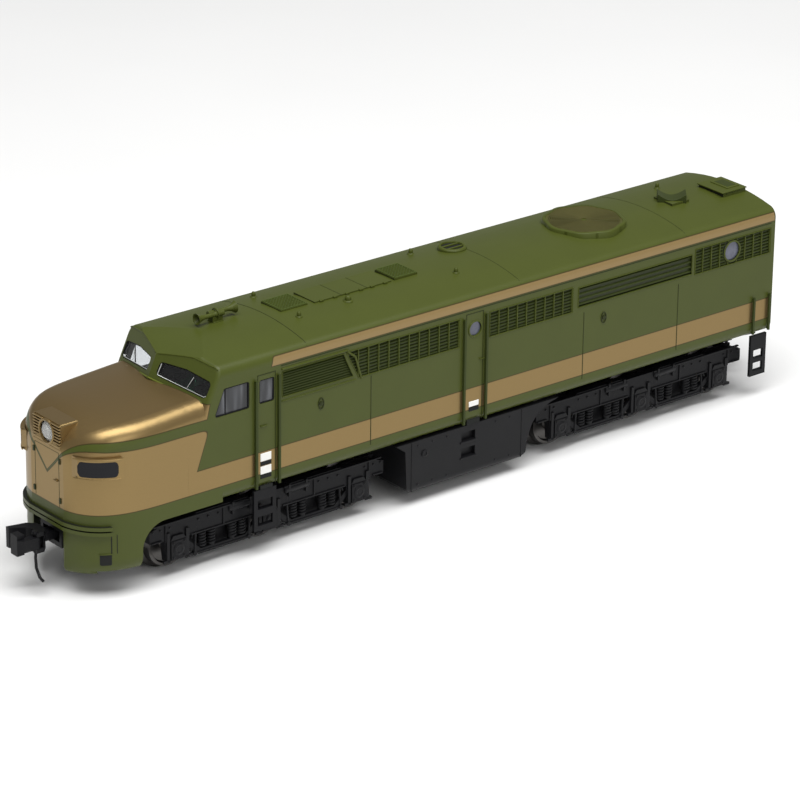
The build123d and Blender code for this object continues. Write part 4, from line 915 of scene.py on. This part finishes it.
# the cowl is in the darker green: painted shade on its faces
cowl.piece("steam_vent_cowl", "chassis", GREEN_DEEP_SHADE, bevel=0.05, slot="shell")

scoop = Shape()
scoop.box((-58.5, -1.25, 29.4), (-53.85, 4.05, 29.58))
scoop.box((-57.9, -0.4, 29.56), (-55.6, 3.1, 29.7))
scoop.piece("rear_hatch_lid", "chassis", GREEN_PAINT, bevel=0.06, slot="shell")
# dark panel on the hatch lid: painted shade of the hatch opening
gap = Shape()
gap.box((-57.6, 0.0, 29.68), (-56.0, 2.7, 29.72))
gap.piece("rear_hatch_panel", "chassis", GREEN_DEEP_SHADE, bevel=0.02, slot="shell")

fan = Shape()
angles = [2 * math.pi * k / 96 for k in range(96)]
rows = []
for shrink, z in ((0.0, 28.2), (0.0, 29.46), (0.12, 29.58), (0.5, 29.58), (0.55, 29.4)):
    row = []
    for a in angles:
        r = FAN_R + 0.12 + 0.13 * math.cos(8 * a) - shrink       # eight lobes round the rim
        row.append(fan.bm.verts.new((FAN_X + r * math.cos(a), r * math.sin(a), z)))
    rows.append(row)
fan.skin(rows)
fan.piece("fan_rim", "chassis", GREEN_PAINT, smooth_angle=50, slot="shell")
guard = Shape()
for k in range(22):
    r = 0.5 + 0.235 * k
    guard.tube([(FAN_X + r * c, r * d, 29.46) for c, d in circle(48)], 0.085, 4)
for c, d in circle(12)[:-1]:
    guard.tube([(FAN_X + r * c, r * d, 29.43) for r in (0.6, 5.4)], 0.06, 4)
guard.piece("fan_guard", "chassis", GUARD, slot="roof_green")

clamp = Shape()
clamp.tube([(30.6, -1.5 + 0.75 * c, 30.05 + 0.62 * d) for c, d in circle(24)], 0.12, 6)
clamp.box((29.8, -2.2, 29.0), (31.4, -0.8, 29.14))
clamp.piece("horn_clamp", "chassis", GREEN_PAINT, bevel=0.03)

# ---------- rear end
rear = Shape()
rear.box((REAR_X - 0.12, -2.9, 9.9), (REAR_X, -2.6, 25.2))
rear.box((REAR_X - 0.12, 2.6, 9.9), (REAR_X, 2.9, 25.2))
rear.box((REAR_X - 0.12, -2.9, 25.0), (REAR_X, 2.9, 25.3))
rear.box((REAR_X - 0.06, -1.9, 10.2), (REAR_X, 1.9, 23.6))
for side, _ in SIDES:
    handle = ((0.02, 11.5), (0.4, 11.7), (0.4, 16.7), (0.02, 16.9))
    rear.tube([(REAR_X - out, side * 4.2, z) for out, z in handle], 0.12, 8)
    rear.lathe(((0.75, 0), (0.7, 0.35), (0.5, 0.5), (0, 0.5)), (REAR_X, side * 6.6, 22.6), (-1, 0, 0), 20)
rear.piece("rear_door_fittings", "chassis", GREEN_PAINT, bevel=0.03, slot="shell")
pane = Shape()
pane.box((REAR_X - 0.09, -1.2, 18.2), (REAR_X, 1.2, 22.4))
pane.piece("rear_door_window", "chassis", GLOSS_BLACK, bevel=0.06)
diaphragm = Shape()
for side, _ in SIDES:
    diaphragm.box((REAR_X - 0.9, side * 3.1, 9.6), (REAR_X - 0.05, side * 3.6, 25.8))
diaphragm.box((REAR_X - 0.9, -3.6, 25.4), (REAR_X - 0.05, 3.6, 26.0))
diaphragm.piece("rear_diaphragm", "chassis", BLACK, bevel=0.08)

# ---------- fuel tank
for side, word in SIDES:
    tank = Shape()
    y = side * TANK_HALF
    for x in (-12.6, 6.6):
        tank.box((x - 0.05, y - side * 0.05, 2.2), (x + 0.05, y + side * 0.06, 9.2))
    for x, z in [(x, z) for x in (-10.5, -8.0, 0.5, 3.0, 5.5) for z in (3.0, 8.6)]:
        tank.lathe(((0.16, -0.05), (0.16, 0.05), (0.08, 0.1), (0, 0.1)), (x, y, z), (0, side, 0), 8)
    for z in (4.65, 6.95):
        tank.box((-4.6, y - side * 0.2, z - 0.1), (-1.8, y + side * 0.14, z + 0.12))
    tank.lathe(((0.5, -0.1), (0.5, 0.16), (0.3, 0.2), (0.3, 0.1), (0, 0.1)), (4.4, y, 7.2), (0, side, 0), 20)
    tank.piece(f"fuel_tank_fittings_{word}", "chassis", BLACK_SATIN, bevel=0.02, slot="underframe_black")


# ---------- trucks
COIL_TURNS, COIL_STEPS = 5, 60
BRAKE_CYLINDER = ((0, -2.1), (0.45, -2.1), (0.62, -1.95), (0.66, 1.7), (0.5, 1.95), (0.2, 2.0),
                  (0.2, 2.7), (0, 2.7))
BOX_LID = ((0, -0.05), (0.85, -0.05), (0.85, 0.1), (0.66, 0.2), (0.5, 0.2), (0.42, 0.12), (0, 0.16))
FRAME_BOLT = ((0.17, 0), (0.17, 0.08), (0.09, 0.14), (0, 0.14))
LID_BOLT = ((0.15, -0.03), (0.15, 0.1), (0, 0.13))
ROD_PIN = ((0.3, -0.25), (0.3, 0.25), (0, 0.3))


def coil(shape, foot, top, radius, wire):
    path = []
    for k in range(COIL_STEPS + 1):
        a = 2 * math.pi * COIL_TURNS * k / COIL_STEPS
        path.append((foot[0] + radius * math.cos(a), foot[1] + radius * math.sin(a),
                     foot[2] + (top - foot[2]) * k / COIL_STEPS))
    shape.tube(path, wire, 6)


def truck_end(cx, side, end, springs, rigging, boxes, shade_sheet):
    """Fittings on one side of a truck between its middle and one end."""
    def at(x, y, z):
        return cx + end * x, side * y, z

    out = (0, side, 0)
    for x in (4.2, 5.7, 9.1, 10.6):
        coil(springs, at(x, 7.25, 2.95), 5.0, 0.52, 0.13)
    # brake cylinder, its bracket, the pull rod and the hangers
    rigging.lathe(BRAKE_CYLINDER, at(4.6, 7.45, 7.15), (end, 0, 0), 20)
    for x in (3.2, 6.0):
        rigging.box(at(x - 0.15, 6.9, 6.2), at(x + 0.15, 8.05, 7.9))
    rigging.tube([at(7.3, 7.5, 7.15), at(11.6, 7.5, 6.6), at(12.4, 7.5, 4.4)], 0.14, 8)
    rigging.tube([at(2.6, 7.6, 2.2), at(12.2, 7.6, 2.2)], 0.13, 8)
    for x in (3.0, 11.7):
        rigging.tube([at(x, 7.55, 6.0), at(x + 0.25, 7.6, 2.0)], 0.17, 8)
        rigging.lathe(ROD_PIN, at(x + 0.25, 7.55, 2.2), out, 12)
    # flanges along the frame and the end sill
    boxes.box(at(2.4, 7.6, 7.5), at(18.6, 7.92, 7.72))
    boxes.box(at(2.2, 7.6, 5.0), at(12.6, 7.88, 5.2))
    boxes.box(at(17.2, 7.6, 5.3), at(18.9, 7.9, 5.5))
    for x in (8.2, 9.8, 11.4, 15.9, 17.4, 18.6):
        boxes.lathe(FRAME_BOLT, at(x, 7.7, 6.9), out, 8)
    # web stiffeners on the frame face
    for x in (7.4, 16.6):
        boxes.box(at(x - 0.1, 7.6, 5.1), at(x + 0.1, 7.86, 7.6))
    # inner side plate in black between the wheels: painted shade standing in for the dark space there
    shade_sheet.box(at(2.2, 5.95, 1.9), at(12.6, 6.3, 7.4))
    shade_sheet.box(at(13.0, 6.0, 5.3), at(18.4, 6.3, 7.6))


def axle_box(x, side, boxes):
    """Round lid with its bolts, pedestal legs and the wedge above, at one axle."""
    out = (0, side, 0)
    boxes.lathe(BOX_LID, (x, side * 8.05, AXLE_Z), out, 24)
    for dx, z in ((-0.85, 2.75), (0.85, 2.75), (-0.85, 4.75), (0.85, 4.75)):
        boxes.lathe(LID_BOLT, (x + dx, side * 8.1, z), out, 6)
    for end in (-1, 1):
        boxes.box((x + end * 1.25, side * 7.6, 2.3), (x + end * 1.75, side * 7.95, 6.3))
        boxes.box((x + end * 1.2, side * 7.6, 2.1), (x + end * 2.3, side * 7.95, 2.5))
    wedge = ((x - 1.3, 5.0), (x + 1.3, 5.0), (x + 0.8, 5.7), (x - 0.8, 5.7))
    boxes.prism(wedge, "y", side * 7.6, side * 7.98)


for truck in ("front", "rear"):
    cx = joint_place(f"{truck}_truck_swivel")[0]
    body = f"{truck}_truck"
    for side, word in SIDES:
        springs, rigging, boxes, shade_sheet = Shape(), Shape(), Shape(), Shape()
        for end in (1, -1):
            truck_end(cx, side, end, springs, rigging, boxes, shade_sheet)
        for axle in (-AXLE_SPACING, 0.0, AXLE_SPACING):
            axle_box(cx + axle, side, boxes)
        springs.piece(f"{truck}_springs_{word}", body, BLACK_SATIN, smooth_angle=60, slot="truck_black")
        rigging.piece(f"{truck}_brake_rigging_{word}", body, BLACK_SATIN, slot="truck_black")
        boxes.piece(f"{truck}_journal_details_{word}", body, BLACK_SATIN, bevel=0.04, slot="truck_black")
        shade_sheet.piece(f"{truck}_inner_shade_plates_{word}", body, BLACK, slot="truck_black")

# ---------- couplers
for name, end in (("front", 1), ("rear", -1)):
    hose = Shape()
    x, y, _ = joint_place(f"{name}_knuckle_open")
    bend = ((0, 0, 5.8), (0.05, 0, 4.9), (0.1, 0.2, 3.6), (0.2, 1.1, 2.6), (0.25, 1.9, 2.4))
    hose.tube([(x + end * dx, y + end * dy, z) for dx, dy, z in bend], 0.2, 10)
    hose.lathe(((0.42, -0.1), (0.42, 0.16), (0.2, 0.2), (0, 0.2)), (x, y, 8.45), (0, 0, 1), 16)
    hose.piece(f"{name}_coupler_trip_pin", f"{name}_coupler", BLACK_SATIN, smooth_angle=60,
               slot="coupler_black")
    spring = Shape()
    path = []
    for k in range(COIL_STEPS + 1):
        a = 2 * math.pi * COIL_TURNS * k / COIL_STEPS
        path.append((end * (58.6 + k / COIL_STEPS), 0.315 * math.cos(a) - end * 0.95,
                     COUPLER_Z + 0.32 * math.sin(a)))
    spring.tube(path, 0.07, 5)
    spring.piece(f"{name}_coupler_spring", f"{name}_coupler", BRONZE, smooth_angle=60)

# ---------- stage, camera and light
def stage():
    bpy.ops.mesh.primitive_plane_add(size=6.0, location=(0, 0, 0))
    floor = bpy.context.object
    floor.name = "floor"
    t = Tree("pale_floor")
    cloud = t.noise(60.0)
    t.set(Base_Color=t.mix(cloud, (0.78, 0.78, 0.775), (0.82, 0.82, 0.815)))
    t.bsdf.inputs["Roughness"].default_value = 0.6
    floor.data.materials.append(t.mat)


def camera():
    data = bpy.data.cameras.new("camera")
    cam = bpy.data.objects.new("camera", data)
    bpy.context.scene.collection.objects.link(cam)
    right = Vector((-0.77614813, 0.63044426, 0.01158118))
    down = Vector((0.23567751, 0.3070834, -0.92203899))
    ahead = Vector((-0.58485057, -0.71290941, -0.38692374))
    turn = Matrix((right, -down, -ahead)).transposed().to_4x4()
    cam.matrix_world = Matrix.Translation(Vector((0.325246, 0.395428, 0.225393))) @ turn
    data.sensor_width = 36.0
    data.lens = 185.1
    data.clip_start = 0.01
    bpy.context.scene.camera = cam


def area_light(name, place, aim, size, power):
    data = bpy.data.lights.new(name, "AREA")
    data.shape = "RECTANGLE"
    data.size, data.size_y = size
    data.energy = power
    lamp = bpy.data.objects.new(name, data)
    lamp.location = place
    lamp.rotation_euler = (Vector(aim) - Vector(place)).to_track_quat("-Z", "Y").to_euler()
    bpy.context.scene.collection.objects.link(lamp)


def lights():
    world = bpy.data.worlds.new("studio")
    world.use_nodes = True
    world.node_tree.nodes["Background"].inputs[0].default_value = (1, 1, 1, 1)
    world.node_tree.nodes["Background"].inputs[1].default_value = 0.25
    bpy.context.scene.world = world
    area_light("overhead", (0.05, 0.15, 0.60), (0, 0, 0), (0.7, 0.4), 6.2)
    area_light("left", (0.10, 0.60, 0.30), (0, 0, 0.015), (0.5, 0.25), 1.0)
    view = bpy.context.scene.view_settings
    view.view_transform = "Standard"
    view.look = "None"


stage()
camera()
lights()
